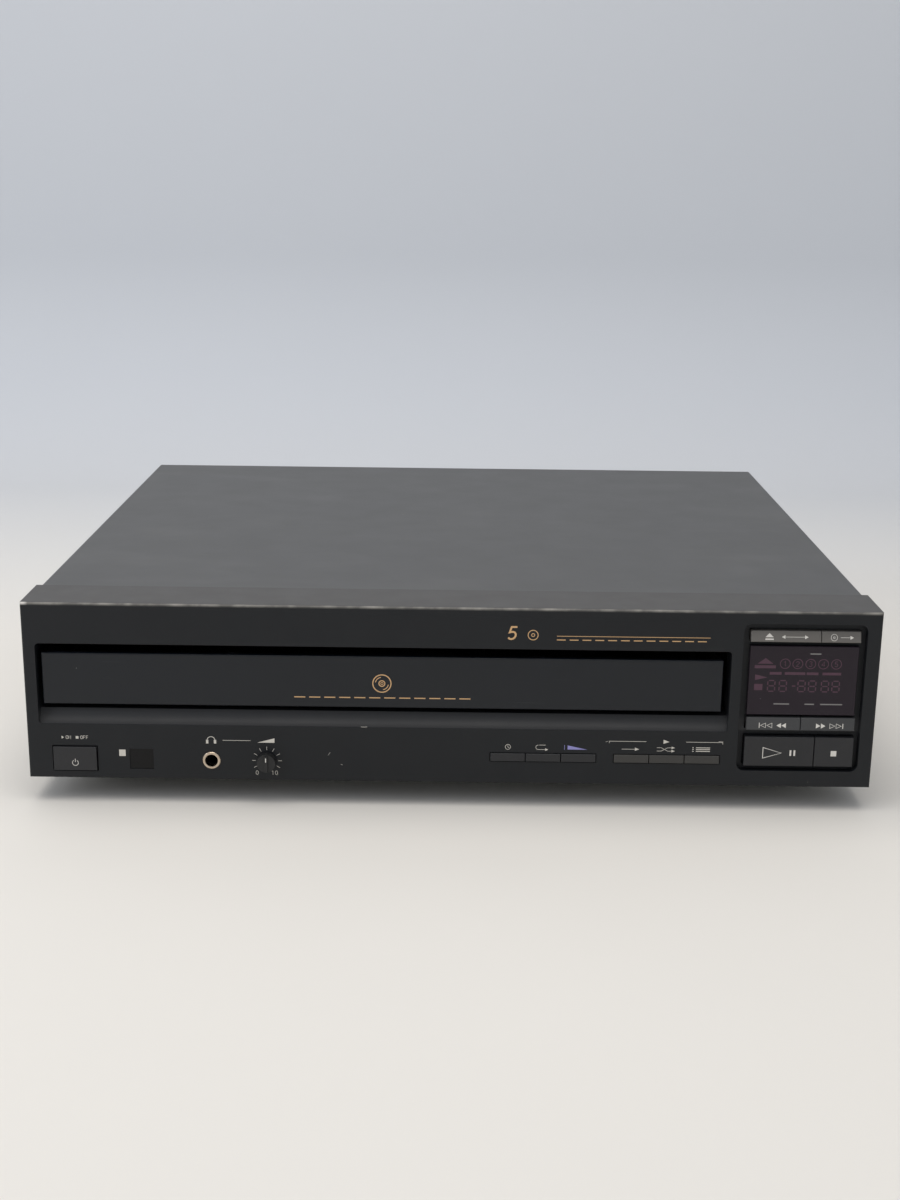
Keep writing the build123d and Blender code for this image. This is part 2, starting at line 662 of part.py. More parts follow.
# ---- Front panel ----
with BuildPart() as front_panel:
    slab(-PANEL_HALF, PANEL_HALF, 0, PANEL_DEPTH, 0, PANEL_HEIGHT)
    face_edges = front_panel.faces().sort_by(Axis.Y)[0].edges()
    fillet(face_edges, PANEL_EDGE_RADIUS)
    inner_half = PANEL_HALF - PANEL_WALL
    inner_top = PANEL_HEIGHT - PANEL_WALL
    slab(-inner_half, inner_half, FACE_WALL, PANEL_DEPTH, PANEL_WALL, inner_top, Mode.SUBTRACT)
    slab(-inner_half, inner_half, PANEL_FLOOR_DEPTH, PANEL_DEPTH, 0, PANEL_WALL, Mode.SUBTRACT)
    # tunnel that guides the drawer, with the sill under it
    slab(
        OPENING_LEFT - TUNNEL_WALL,
        OPENING_RIGHT + TUNNEL_WALL,
        FACE_WALL / 2,
        TUNNEL_DEPTH,
        SILL_LIP - TUNNEL_WALL,
        OPENING_TOP + TUNNEL_WALL,
    )
    slab(OPENING_LEFT, OPENING_RIGHT, SILL_RUN, TUNNEL_DEPTH, SILL_TOP, OPENING_TOP, Mode.SUBTRACT)
    add(recess_tool.part, mode=Mode.SUBTRACT)
    # sunk well for the display and keys
    slab(
        CLUSTER_LEFT - TUNNEL_WALL,
        CLUSTER_RIGHT + TUNNEL_WALL,
        FACE_WALL / 2,
        CLUSTER_BACK,
        CLUSTER_LOW - PANEL_WALL,
        CLUSTER_HIGH + PANEL_WALL,
    )
    with BuildSketch(facing(0)) as well:
        with Locations(((CLUSTER_LEFT + CLUSTER_RIGHT) / 2, at_height((CLUSTER_LOW + CLUSTER_HIGH) / 2))):
            RectangleRounded(CLUSTER_RIGHT - CLUSTER_LEFT, CLUSTER_HIGH - CLUSTER_LOW, CLUSTER_CORNER)
    extrude(amount=-CLUSTER_SINK, mode=Mode.SUBTRACT)
    for left_name, right_name in (
        ("open_close_key", "disc_skip_key"),
        ("track_back_key", "track_forward_key"),
        ("play_pause_key", "stop_key"),
    ):
        left_key = CLUSTER_KEYS[left_name]
        right_key = CLUSTER_KEYS[right_name]
        slab(
            left_key[0] - KEY_GAP,
            right_key[1] + KEY_GAP,
            CLUSTER_SINK,
            CLUSTER_BACK,
            left_key[2] - KEY_GAP,
            left_key[3] + KEY_GAP,
            Mode.SUBTRACT,
        )
    slab(
        WINDOW_LEFT + WINDOW_BORDER,
        WINDOW_RIGHT - WINDOW_BORDER,
        CLUSTER_SINK,
        CLUSTER_BACK,
        WINDOW_LOW + WINDOW_BORDER,
        WINDOW_HIGH - WINDOW_BORDER,
        Mode.SUBTRACT,
    )
    for starts in (TRIO_LEFT_STARTS, TRIO_RIGHT_STARTS):
        slab(
            starts[0] - KEY_GAP,
            starts[-1] + TRIO_WIDTH + KEY_GAP,
            0,
            FACE_WALL,
            TRIO_LOW - KEY_GAP,
            TRIO_HIGH + KEY_GAP,
            Mode.SUBTRACT,
        )
    slab(
        POWER_LEFT - POWER_MARGIN,
        POWER_RIGHT + POWER_MARGIN,
        0,
        FACE_WALL,
        POWER_LOW - POWER_MARGIN,
        POWER_HIGH + POWER_MARGIN,
        Mode.SUBTRACT,
    )
    slab(
        SENSOR_LEFT - SHAFT_GAP,
        SENSOR_RIGHT + SHAFT_GAP,
        0,
        FACE_WALL,
        SENSOR_LOW - SHAFT_GAP,
        SENSOR_HIGH + SHAFT_GAP,
        Mode.SUBTRACT,
    )
    fore_aft(JACK_X, JACK_HEIGHT, JACK_RING_RADIUS + SHAFT_GAP, 0, FACE_WALL, Mode.SUBTRACT)
    fore_aft(KNOB_X, KNOB_HEIGHT, KNOB_SHAFT_RADIUS + KEY_GAP, 0, FACE_WALL, Mode.SUBTRACT)
front_panel.part.label = "front_panel"
export_step(front_panel.part, "parts/front_panel.step")

# ---- Bottom chassis: a folded steel pan with pads for the mechanism and the boards ----
with BuildPart() as bottom_chassis:
    chassis_front = PANEL_FLOOR_DEPTH + COVER_JOINT
    slab(-CHASSIS_HALF, CHASSIS_HALF, chassis_front, REAR_PANEL_DEPTH, CHASSIS_LIFT, CHASSIS_TOP)
    for side in (-1, 1):
        outer = side * CHASSIS_HALF
        inner = side * (CHASSIS_HALF - STEEL)
        slab(
            min(outer, inner),
            max(outer, inner),
            PANEL_DEPTH + FLANGE_SETBACK,
            REAR_PANEL_DEPTH - FLANGE_SETBACK,
            CHASSIS_TOP,
            CHASSIS_LIFT + CHASSIS_FLANGE,
        )
    # tabs stepped up over the panel's floor, which is screwed to them from below
    for x in TAB_CENTRES:
        left = x - TAB_WIDTH / 2
        step_rear = chassis_front + 2 * STEEL
        slab(left, left + TAB_WIDTH, chassis_front, step_rear, CHASSIS_TOP, PANEL_WALL + STEEL)
        slab(left, left + TAB_WIDTH, chassis_front - TAB_REACH, step_rear, PANEL_WALL, PANEL_WALL + STEEL)
    for x in (TONGUE_LEFT + 2 * POST_INSET, TONGUE_RIGHT - 2 * POST_INSET):
        for depth in (TONGUE_FRONT + POST_INSET, PLATE_REAR - 2 * POST_INSET):
            upright(x, depth, STANDOFF_RADIUS, CHASSIS_TOP, PLATE_LOW)
    for x in (DRAWER_CENTRE - RAIL_INNER + POST_INSET, DRAWER_CENTRE + RAIL_INNER - POST_INSET):
        for depth in (PLATE_FRONT + POST_INSET, PLATE_REAR - POST_INSET):
            upright(x, depth, STANDOFF_RADIUS, CHASSIS_TOP, PLATE_LOW)
    for x in (MAIN_BOARD_LEFT + STANDOFF_INSET, MAIN_BOARD_RIGHT - STANDOFF_INSET):
        for depth in (MAIN_BOARD_FRONT + STANDOFF_INSET, MAIN_BOARD_REAR - STANDOFF_INSET):
            upright(x, depth, STANDOFF_RADIUS, CHASSIS_TOP, MAIN_BOARD_LOW)
    for depth in SIDE_SCREW_DEPTHS:
        sideways(depth, SIDE_SCREW_HEIGHT, SCREW_HOLE_RADIUS, -PANEL_HALF, PANEL_HALF, Mode.SUBTRACT)
    for x in (-FOOT_SPACING / 2, FOOT_SPACING / 2):
        for depth in (FOOT_SETBACK, CASE_DEPTH - FOOT_REAR_INSET):
            upright(x, depth, SCREW_HOLE_RADIUS, CHASSIS_LIFT, CHASSIS_TOP, Mode.SUBTRACT)
bottom_chassis.part.label = "bottom_chassis"
export_step(bottom_chassis.part, "parts/bottom_chassis.step")

# ---- Rear panel: flat steel with holes for the sockets, the gland and the screws ----
with BuildPart() as rear_panel:
    rear_outer = REAR_PANEL_DEPTH + STEEL
    slab(-CHASSIS_HALF, CHASSIS_HALF, REAR_PANEL_DEPTH, rear_outer, CHASSIS_LIFT, COVER_TOP - COVER_BEND)
    for x in LINE_OUT_X:
        fore_aft(x, LINE_OUT_HEIGHT, LINE_OUT_RADIUS + SHAFT_GAP, REAR_PANEL_DEPTH, rear_outer, Mode.SUBTRACT)
    gland_hole = GLAND_RADIUS + GLAND_WALL + SHAFT_GAP
    fore_aft(GLAND_X, GLAND_HEIGHT, gland_hole, REAR_PANEL_DEPTH, rear_outer, Mode.SUBTRACT)
    for x in (-REAR_SCREW_SPACING, 0, REAR_SCREW_SPACING):
        fore_aft(x, REAR_SCREW_HEIGHT, SCREW_HOLE_RADIUS, REAR_PANEL_DEPTH, rear_outer, Mode.SUBTRACT)
rear_panel.part.label = "rear_panel"
export_step(rear_panel.part, "parts/rear_panel.step")

# ---- Top cover: one folded sheet over the top and both sides, with a lip at the rear ----
with BuildPart() as top_cover:
    with BuildSketch(facing(COVER_FRONT)) as bend:
        with BuildLine():
            Polyline(
                (-COVER_HALF, at_height(CHASSIS_LIFT)),
                (-COVER_HALF, at_height(COVER_TOP)),
                (COVER_HALF, at_height(COVER_TOP)),
                (COVER_HALF, at_height(CHASSIS_LIFT)),
                close=True,
            )
        make_face()
        fillet(bend.vertices().group_by(Axis.Z)[-1], COVER_BEND)
    extrude(amount=COVER_FRONT - CASE_DEPTH)
    cover_inner = COVER_HALF - COVER_STEEL
    slab(
        -cover_inner,
        cover_inner,
        COVER_FRONT,
        CASE_DEPTH - COVER_STEEL,
        CHASSIS_LIFT,
        COVER_TOP - COVER_STEEL,
        Mode.SUBTRACT,
    )
    lip_low = COVER_TOP - COVER_LIP
    slab(-cover_inner, cover_inner, COVER_FRONT, CASE_DEPTH, CHASSIS_LIFT, lip_low, Mode.SUBTRACT)
    for depth in SIDE_SCREW_DEPTHS:
        sideways(depth, SIDE_SCREW_HEIGHT, SCREW_HOLE_RADIUS, -PANEL_HALF, PANEL_HALF, Mode.SUBTRACT)
    for x in (-REAR_SCREW_SPACING, 0, REAR_SCREW_SPACING):
        fore_aft(x, REAR_SCREW_HEIGHT, SCREW_HOLE_RADIUS, CASE_DEPTH - COVER_STEEL, CASE_DEPTH, Mode.SUBTRACT)
top_cover.part.label = "top_cover"
export_step(top_cover.part, "parts/top_cover.step")

# ---- Feet: four turned plastic feet with a sunk screw seat ----
with BuildPart() as feet:
    for x in (-FOOT_SPACING / 2, FOOT_SPACING / 2):
        for depth in (FOOT_SETBACK, CASE_DEPTH - FOOT_REAR_INSET):
            with Locations((x, at_depth(depth), (FOOT_HEIGHT + CHASSIS_LIFT) / 2)):
                Cone(FOOT_BASE_RADIUS, FOOT_RADIUS, FOOT_HEIGHT + CHASSIS_LIFT)
            bore_low = FOOT_SCREW_SEAT - FOOT_HEIGHT
            seat_radius = FOOT_SCREW_HEAD_RADIUS + FOOT_SCREW_ROOM
            upright(x, depth, seat_radius, -FOOT_HEIGHT, bore_low, Mode.SUBTRACT)
            upright(x, depth, SCREW_HOLE_RADIUS, bore_low, CHASSIS_LIFT, Mode.SUBTRACT)
feet.part.label = "feet"
export_step(feet.part, "parts/feet.step")

# ---- Screws of the cover and the feet ----
with BuildPart() as case_screws:
    for depth in SIDE_SCREW_DEPTHS:
        middle = (at_depth(depth), at_height(SIDE_SCREW_HEIGHT))
        screw(Plane(origin=(-COVER_HALF, *middle), x_dir=(0, 1, 0), z_dir=(-1, 0, 0)))
        screw(Plane(origin=(COVER_HALF, *middle), x_dir=(0, 1, 0), z_dir=(1, 0, 0)))
    for x in (-REAR_SCREW_SPACING, 0, REAR_SCREW_SPACING):
        seat = (x, at_depth(CASE_DEPTH), at_height(REAR_SCREW_HEIGHT))
        screw(Plane(origin=seat, x_dir=(1, 0, 0), z_dir=(0, 1, 0)))
    for x in (-FOOT_SPACING / 2, FOOT_SPACING / 2):
        for depth in (FOOT_SETBACK, CASE_DEPTH - FOOT_REAR_INSET):
            seat = FOOT_SCREW_SEAT - FOOT_HEIGHT
            upright(x, depth, FOOT_SCREW_HEAD_RADIUS, seat - 2 * SCREW_HEAD, seat)
            upright(x, depth, SCREW_RADIUS, seat, CHASSIS_TOP)
case_screws.part.label = "case_screws"
export_step(case_screws.part, "parts/case_screws.step")

# ---- Keys: each has a cap through the panel, a retaining lip behind it and a switch stem ----
def make_key(left, right, low, high, face, lean, wall_rear):
    """One key whose cap starts at the depth face, with its top edge leaning to the rear."""
    lip_front = wall_rear + KEY_GAP
    lip_rear = lip_front + KEY_FLANGE
    with BuildPart() as key:
        with BuildSketch(across(left)) as side:
            with BuildLine():
                Polyline(
                    *side_points([(face, low), (face + lean, high), (lip_front, high), (lip_front, low)]),
                    close=True,
                )
            make_face()
        extrude(amount=right - left)
        fillet(key.faces().sort_by(Axis.Y)[0].edges(), KEY_EDGE)
        slab(left, right, lip_front, lip_rear, low - KEY_LIP, high + KEY_LIP)
    return key


for name, (left, right, low, high, lean) in CLUSTER_KEYS.items():
    cluster_key = make_key(left, right, low, high, CLUSTER_KEY_FACE, lean, CLUSTER_BACK)
    cluster_key.part.label = name
    export_step(cluster_key.part, f"parts/{name}.step")

for name, left in TRIO_KEYS.items():
    trio_key = make_key(left, left + TRIO_WIDTH, TRIO_LOW, TRIO_HIGH, -TRIO_PROUD, 0.0, FACE_WALL)
    trio_key.part.label = name
    export_step(trio_key.part, f"parts/{name}.step")

# depths of the switch nibs and boards behind the two groups of keys
CLUSTER_LIP_REAR = CLUSTER_BACK + KEY_GAP + KEY_FLANGE
TRIO_LIP_REAR = FACE_WALL + KEY_GAP + KEY_FLANGE
CLUSTER_BOARD = CLUSTER_LIP_REAR + KEY_HIT + SWITCH_NIB + SWITCH_BODY
TRIO_BOARD = TRIO_LIP_REAR + KEY_HIT + SWITCH_NIB + SWITCH_BODY

# ---- Tact switches: a square body with a round nib in front, one behind each key ----
with BuildPart() as tact_switches:
    spots = [
        ((left + right) / 2, (low + high) / 2, CLUSTER_BOARD)
        for left, right, low, high, _ in CLUSTER_KEYS.values()
    ]
    spots += [
        (left + TRIO_WIDTH / 2, (TRIO_LOW + TRIO_HIGH) / 2, TRIO_BOARD) for left in TRIO_KEYS.values()
    ]
    for x, height, board in spots:
        half = SWITCH_SIZE / 2
        slab(x - half, x + half, board - SWITCH_BODY, board, height - half, height + half)
        fore_aft(x, height, half / 2, board - SWITCH_BODY - SWITCH_NIB, board - SWITCH_BODY)
tact_switches.part.label = "tact_switches"
export_step(tact_switches.part, "parts/tact_switches.step")

# ---- Boards behind the panel: the first carries the display and the cluster's switches ----
with BuildPart() as front_boards:
    slab(
        CLUSTER_LEFT,
        CLUSTER_RIGHT,
        CLUSTER_BOARD,
        CLUSTER_BOARD + BOARD,
        PANEL_WALL + CONTROL_BOARD_LIFT,
        CLUSTER_HIGH,
    )
    # key board behind the two trios, and headphone board behind the socket and the level control
    slab(
        TRIO_LEFT_STARTS[0] - SWITCH_SIZE,
        TRIO_RIGHT_STARTS[-1] + TRIO_WIDTH,
        TRIO_BOARD,
        TRIO_BOARD + BOARD,
        PANEL_WALL,
        SILL_LIP - TUNNEL_WALL,
    )
    jack_rear = FACE_WALL + SHAFT_GAP + JACK_BODY_LENGTH
    slab(
        JACK_X - JACK_BODY_WIDTH,
        KNOB_X + LEVEL_BODY_WIDTH,
        jack_rear,
        jack_rear + BOARD,
        PANEL_WALL,
        JACK_HEIGHT + JACK_BODY_WIDTH / 2,
    )
front_boards.part.label = "front_boards"
export_step(front_boards.part, "parts/front_boards.step")

# ---- Display: a dark window glued on the well's floor and a tube behind it ----
with BuildPart() as display_window:
    slab(WINDOW_LEFT, WINDOW_RIGHT, WINDOW_FACE, CLUSTER_SINK, WINDOW_LOW, WINDOW_HIGH)
    fillet(display_window.faces().sort_by(Axis.Y)[0].edges(), KEY_EDGE)
display_window.part.label = "display_window"
export_step(display_window.part, "parts/display_window.step")

with BuildPart() as display_tube:
    slab(
        WINDOW_LEFT + TUBE_MARGIN,
        WINDOW_RIGHT - TUBE_MARGIN,
        CLUSTER_BOARD - TUBE_THICK,
        CLUSTER_BOARD,
        WINDOW_LOW + TUBE_MARGIN,
        WINDOW_HIGH - TUBE_MARGIN,
    )
    fillet(display_tube.edges().filter_by(Axis.Y), TUBE_EDGE)
display_tube.part.label = "display_tube"
export_step(display_tube.part, "parts/display_tube.step")

with BuildPart() as sensor_window:
    slab(SENSOR_LEFT, SENSOR_RIGHT, SENSOR_SET, FACE_WALL, SENSOR_LOW, SENSOR_HIGH)
    slab(
        SENSOR_LEFT - SENSOR_LIP,
        SENSOR_RIGHT + SENSOR_LIP,
        FACE_WALL,
        FACE_WALL + SENSOR_LIP,
        SENSOR_LOW - SENSOR_LIP,
        SENSOR_HIGH + SENSOR_LIP,
    )
sensor_window.part.label = "sensor_window"
export_step(sensor_window.part, "parts/sensor_window.step")

# ---- Power: a latching push button and the mains switch behind it ----
with BuildPart() as power_button:
    slab(POWER_LEFT, POWER_RIGHT, -POWER_PROUD, FACE_WALL + POWER_TRAVEL, POWER_LOW, POWER_HIGH)
    fillet(power_button.faces().sort_by(Axis.Y)[0].edges(), KEY_EDGE)
    power_x = (POWER_LEFT + POWER_RIGHT) / 2
    power_height = (POWER_LOW + POWER_HIGH) / 2
    fore_aft(power_x, power_height, POWER_STEM_RADIUS, FACE_WALL, FACE_WALL + POWER_STEM)
power_button.part.label = "power_button"
export_step(power_button.part, "parts/power_button.step")

with BuildPart() as power_switch:
    slab(
        power_x - POWER_SWITCH_WIDTH / 2,
        power_x + POWER_SWITCH_WIDTH / 2,
        POWER_SWITCH_DEPTH,
        POWER_SWITCH_DEPTH + POWER_SWITCH_LENGTH,
        CHASSIS_TOP,
        power_height + POWER_SWITCH_WIDTH / 2,
    )
power_switch.part.label = "power_switch"
export_step(power_switch.part, "parts/power_switch.step")

# ---- Headphone socket: a bright ring in the panel and a body with the bore behind it ----
with BuildPart() as jack_ring:
    ring_bore = JACK_BORE_RADIUS + SHAFT_GAP
    fore_aft(JACK_X, JACK_HEIGHT, JACK_RING_RADIUS, -JACK_RING_PROUD, FACE_WALL)
    chamfer(jack_ring.faces().sort_by(Axis.Y)[0].edges(), JACK_RING_CHAMFER)
    fore_aft(JACK_X, JACK_HEIGHT, ring_bore, -JACK_RING_PROUD, FACE_WALL, Mode.SUBTRACT)
jack_ring.part.label = "jack_ring"
export_step(jack_ring.part, "parts/jack_ring.step")

with BuildPart() as headphone_jack:
    body_half = JACK_BODY_WIDTH / 2
    body_front = FACE_WALL + SHAFT_GAP
    slab(
        JACK_X - body_half,
        JACK_X + body_half,
        body_front,
        body_front + JACK_BODY_LENGTH,
        JACK_HEIGHT - body_half,
        JACK_HEIGHT + body_half,
    )
    bore_rear = body_front + JACK_BODY_LENGTH - JACK_END_WALL
    fore_aft(JACK_X, JACK_HEIGHT, JACK_BORE_RADIUS, body_front, bore_rear, Mode.SUBTRACT)
headphone_jack.part.label = "headphone_jack"
export_step(headphone_jack.part, "parts/headphone_jack.step")

# ---- Level knob with its shaft, and the control that it turns ----
with BuildPart() as level_knob:
    fore_aft(KNOB_X, KNOB_HEIGHT, KNOB_RADIUS, -KNOB_PROUD + KNOB_DISH, -KNOB_LIFT)
    slab(
        KNOB_X - KNOB_GRIP / 2,
        KNOB_X + KNOB_GRIP / 2,
        -KNOB_PROUD,
        -KNOB_PROUD + KNOB_DISH + KEY_EDGE,
        KNOB_HEIGHT - KNOB_RADIUS + KEY_EDGE,
        KNOB_HEIGHT + KNOB_RADIUS - KEY_EDGE,
    )
    fore_aft(KNOB_X, KNOB_HEIGHT, KNOB_SHAFT_RADIUS, -KNOB_LIFT, KNOB_SHAFT_END)
level_knob.part.label = "level_knob"
export_step(level_knob.part, "parts/level_knob.step")

with BuildPart() as level_control:
    level_half = LEVEL_BODY_WIDTH / 2
    slab(
        KNOB_X - level_half,
        KNOB_X + level_half,
        LEVEL_BODY_FRONT,
        jack_rear,
        KNOB_HEIGHT - level_half,
        KNOB_HEIGHT + level_half,
    )
    fore_aft(KNOB_X, KNOB_HEIGHT, LEVEL_BUSH_RADIUS, FACE_WALL, LEVEL_BODY_FRONT)
    shaft_bore = KNOB_SHAFT_RADIUS + SHAFT_GAP
    fore_aft(KNOB_X, KNOB_HEIGHT, shaft_bore, FACE_WALL, KNOB_SHAFT_END + TURN_GAP, Mode.SUBTRACT)
level_control.part.label = "level_control"
export_step(level_control.part, "parts/level_control.step")

# ---- Line out sockets and cord gland at the rear ----
with BuildPart() as line_out_jacks:
    block_margin = LINE_OUT_FLANGE + LINE_OUT_MARGIN
    slab(
        LINE_OUT_X[0] - block_margin,
        LINE_OUT_X[1] + block_margin,
        REAR_PANEL_DEPTH - LINE_OUT_BLOCK_DEPTH,
        REAR_PANEL_DEPTH,
        CHASSIS_TOP,
        LINE_OUT_HEIGHT + block_margin,
    )
    for x in LINE_OUT_X:
        shell_end = CASE_DEPTH + JACK_PROUD
        fore_aft(x, LINE_OUT_HEIGHT, LINE_OUT_RADIUS, REAR_PANEL_DEPTH, shell_end)
        fore_aft(x, LINE_OUT_HEIGHT, LINE_OUT_FLANGE, REAR_PANEL_DEPTH + STEEL, CASE_DEPTH)
        fore_aft(x, LINE_OUT_HEIGHT, LINE_OUT_BORE, CASE_DEPTH, shell_end, Mode.SUBTRACT)
line_out_jacks.part.label = "line_out_jacks"
export_step(line_out_jacks.part, "parts/line_out_jacks.step")

with BuildPart() as cord_gland:
    gland_rear = CASE_DEPTH + GLAND_PROUD
    gland_front = REAR_PANEL_DEPTH - GLAND_INSIDE
    fore_aft(GLAND_X, GLAND_HEIGHT, GLAND_RADIUS + GLAND_WALL, gland_front, gland_rear)
    fore_aft(GLAND_X, GLAND_HEIGHT, GLAND_FLANGE, REAR_PANEL_DEPTH + STEEL, gland_rear)
    fore_aft(GLAND_X, GLAND_HEIGHT, GLAND_RADIUS, gland_front, gland_rear, Mode.SUBTRACT)
cord_gland.part.label = "cord_gland"
export_step(cord_gland.part, "parts/cord_gland.step")

# ---- Main board with its larger components, and the mains transformer ----
with BuildPart() as main_board:
    board_top = MAIN_BOARD_LOW + BOARD
    slab(
        MAIN_BOARD_LEFT,
        MAIN_BOARD_RIGHT,
        MAIN_BOARD_FRONT,
        MAIN_BOARD_REAR,
        MAIN_BOARD_LOW,
        board_top,
    )
    for right_of, behind, radius, tall in CAPACITORS:
        x = MAIN_BOARD_LEFT + right_of
        depth = MAIN_BOARD_FRONT + behind
        upright(x, depth, radius, board_top, board_top + tall)
    for right_of, behind, width, length in CHIPS:
        x = MAIN_BOARD_LEFT + right_of
        depth = MAIN_BOARD_FRONT + behind
        slab(x, x + width, depth, depth + length, board_top, board_top + CHIP_TALL)
main_board.part.label = "main_board"
export_step(main_board.part, "parts/main_board.step")

with BuildPart() as power_transformer:
    right = TRANSFORMER_LEFT + TRANSFORMER_WIDTH
    rear = TRANSFORMER_FRONT + TRANSFORMER_LENGTH
    core_front = (TRANSFORMER_FRONT + rear - TRANSFORMER_CORE) / 2
    top = CHASSIS_TOP + TRANSFORMER_TALL
    slab(TRANSFORMER_LEFT, right, core_front, core_front + TRANSFORMER_CORE, CHASSIS_TOP, top)
    slab(
        TRANSFORMER_LEFT + TRANSFORMER_STEP,
        right - TRANSFORMER_STEP,
        TRANSFORMER_FRONT,
        rear,
        CHASSIS_TOP + TRANSFORMER_STEP,
        top - TRANSFORMER_STEP,
    )
    fillet(power_transformer.edges().filter_by(Axis.Z).group_by(Axis.Y)[0], TRANSFORMER_EDGE)
power_transformer.part.label = "power_transformer"
export_step(power_transformer.part, "parts/power_transformer.step")

# ---- Drawer front: a moulded fascia with the wall behind it that screws to the tray ----
with BuildPart() as drawer_front:
    fascia_left = DRAWER_CENTRE - FASCIA_WIDTH / 2
    fascia_right = DRAWER_CENTRE + FASCIA_WIDTH / 2
    slab(fascia_left, fascia_right, FASCIA_SET, FASCIA_REAR, FASCIA_LOW, FASCIA_HIGH)
    fillet(drawer_front.faces().sort_by(Axis.Y)[0].edges(), FASCIA_EDGE)
    slab(
        DRAWER_CENTRE - TRAY_HALF,
        DRAWER_CENTRE + TRAY_HALF,
        FASCIA_REAR,
        TRAY_FRONT,
        FASCIA_LOW + FASCIA_EDGE,
        FASCIA_HIGH - FASCIA_BACK_DROP,
    )
drawer_front.part.label = "drawer_front"
export_step(drawer_front.part, "parts/drawer_front.step")

# ---- Drawer tray: floor with side runners, low walls, hub post, rack and pickup well ----
with BuildPart() as drawer_tray:
    slab(
        DRAWER_CENTRE - RUNNER_HALF,
        DRAWER_CENTRE + RUNNER_HALF,
        TRAY_FRONT,
        TRAY_REAR,
        TRAY_LOW,
        TRAY_TOP,
    )
    wall_top = TRAY_TOP + TRAY_SIDE_HEIGHT
    wall_in = TRAY_HALF - TRAY_SIDE_WALL
    for side in (-1, 1):
        outer = DRAWER_CENTRE + side * TRAY_HALF
        inner = DRAWER_CENTRE + side * wall_in
        slab(min(outer, inner), max(outer, inner), TRAY_FRONT, TRAY_REAR, TRAY_TOP, wall_top)
    slab(
        DRAWER_CENTRE - WELL_HALF,
        DRAWER_CENTRE + WELL_HALF,
        WELL_FRONT,
        TRAY_REAR,
        TRAY_LOW,
        TRAY_TOP,
        Mode.SUBTRACT,
    )
    upright(DRAWER_CENTRE, CAROUSEL_DEPTH, HUB_POST_RADIUS, TRAY_TOP, CAROUSEL_LOW + CAROUSEL_THICK)
    upright(DRAWER_CENTRE, CAROUSEL_DEPTH, HUB_SHOULDER_RADIUS, TRAY_TOP, CAROUSEL_LOW - TURN_GAP)
    # rack under the floor, one tooth level with the pinion when the drawer is shut
    rack_step = pi * RACK_MODULE
    rack_last = floor((DRAWER_TRAVEL + RACK_LEAD) / rack_step)
    with BuildSketch(level(RACK_LOW)) as rack_outline:
        rack = rack_points(
            RACK_MODULE,
            RACK_PITCH_X,
            PINION_DEPTH - RACK_LEAD,
            PINION_DEPTH + (rack_last + 1) * rack_step,
            PINION_DEPTH,
            RACK_PITCH_X - RACK_BACK,
            (-floor(RACK_LEAD / rack_step), rack_last),
        )
        Polygon(*rack, align=None)
    extrude(amount=TRAY_LOW - RACK_LOW)
    # running holes for the table gear's shaft and the table motor's shaft
    table_bore = TABLE_SHAFT_RADIUS + SHAFT_GAP
    upright(TABLE_GEAR_X, TABLE_GEAR_DEPTH, table_bore, TRAY_LOW, TRAY_TOP, Mode.SUBTRACT)
    motor_room = MOTOR_SHAFT_RADIUS + TURN_GAP
    upright(TABLE_MOTOR_X, TABLE_MOTOR_DEPTH, motor_room, TRAY_LOW, TRAY_TOP, Mode.SUBTRACT)
drawer_tray.part.label = "drawer_tray"
export_step(drawer_tray.part, "parts/drawer_tray.step")

# ---- Carousel: a turning plate and, raised on it, a deck that five disc pockets are cut from ----
def place_plane(place, height):
    """The horizontal plane at a height whose X points from the carousel's centre to a disc place."""
    angle = pi / 2 + 2 * pi / PLACES * place
    return Plane(
        origin=(DRAWER_CENTRE, at_depth(CAROUSEL_DEPTH), at_height(height)),
        x_dir=(cos(angle), sin(angle), 0),
        z_dir=(0, 0, 1),
    )


carousel_top = CAROUSEL_LOW + CAROUSEL_THICK
hub_bore = HUB_POST_RADIUS + SHAFT_GAP

with BuildPart() as carousel_deck:
    upright(DRAWER_CENTRE, CAROUSEL_DEPTH, CAROUSEL_RADIUS, DISC_SEAT, carousel_top)
    for place in range(PLACES):
        with BuildSketch(place_plane(place, DISC_SEAT)) as pocket:
            with Locations((PLACE_CIRCLE, 0)):
                Circle(DISC_RADIUS + POCKET_GAP)
        extrude(amount=carousel_top - DISC_SEAT, mode=Mode.SUBTRACT)
    upright(DRAWER_CENTRE, CAROUSEL_DEPTH, hub_bore, DISC_SEAT, carousel_top, Mode.SUBTRACT)
carousel_deck.part.label = "carousel_deck"
export_step(carousel_deck.part, "parts/carousel_deck.step")

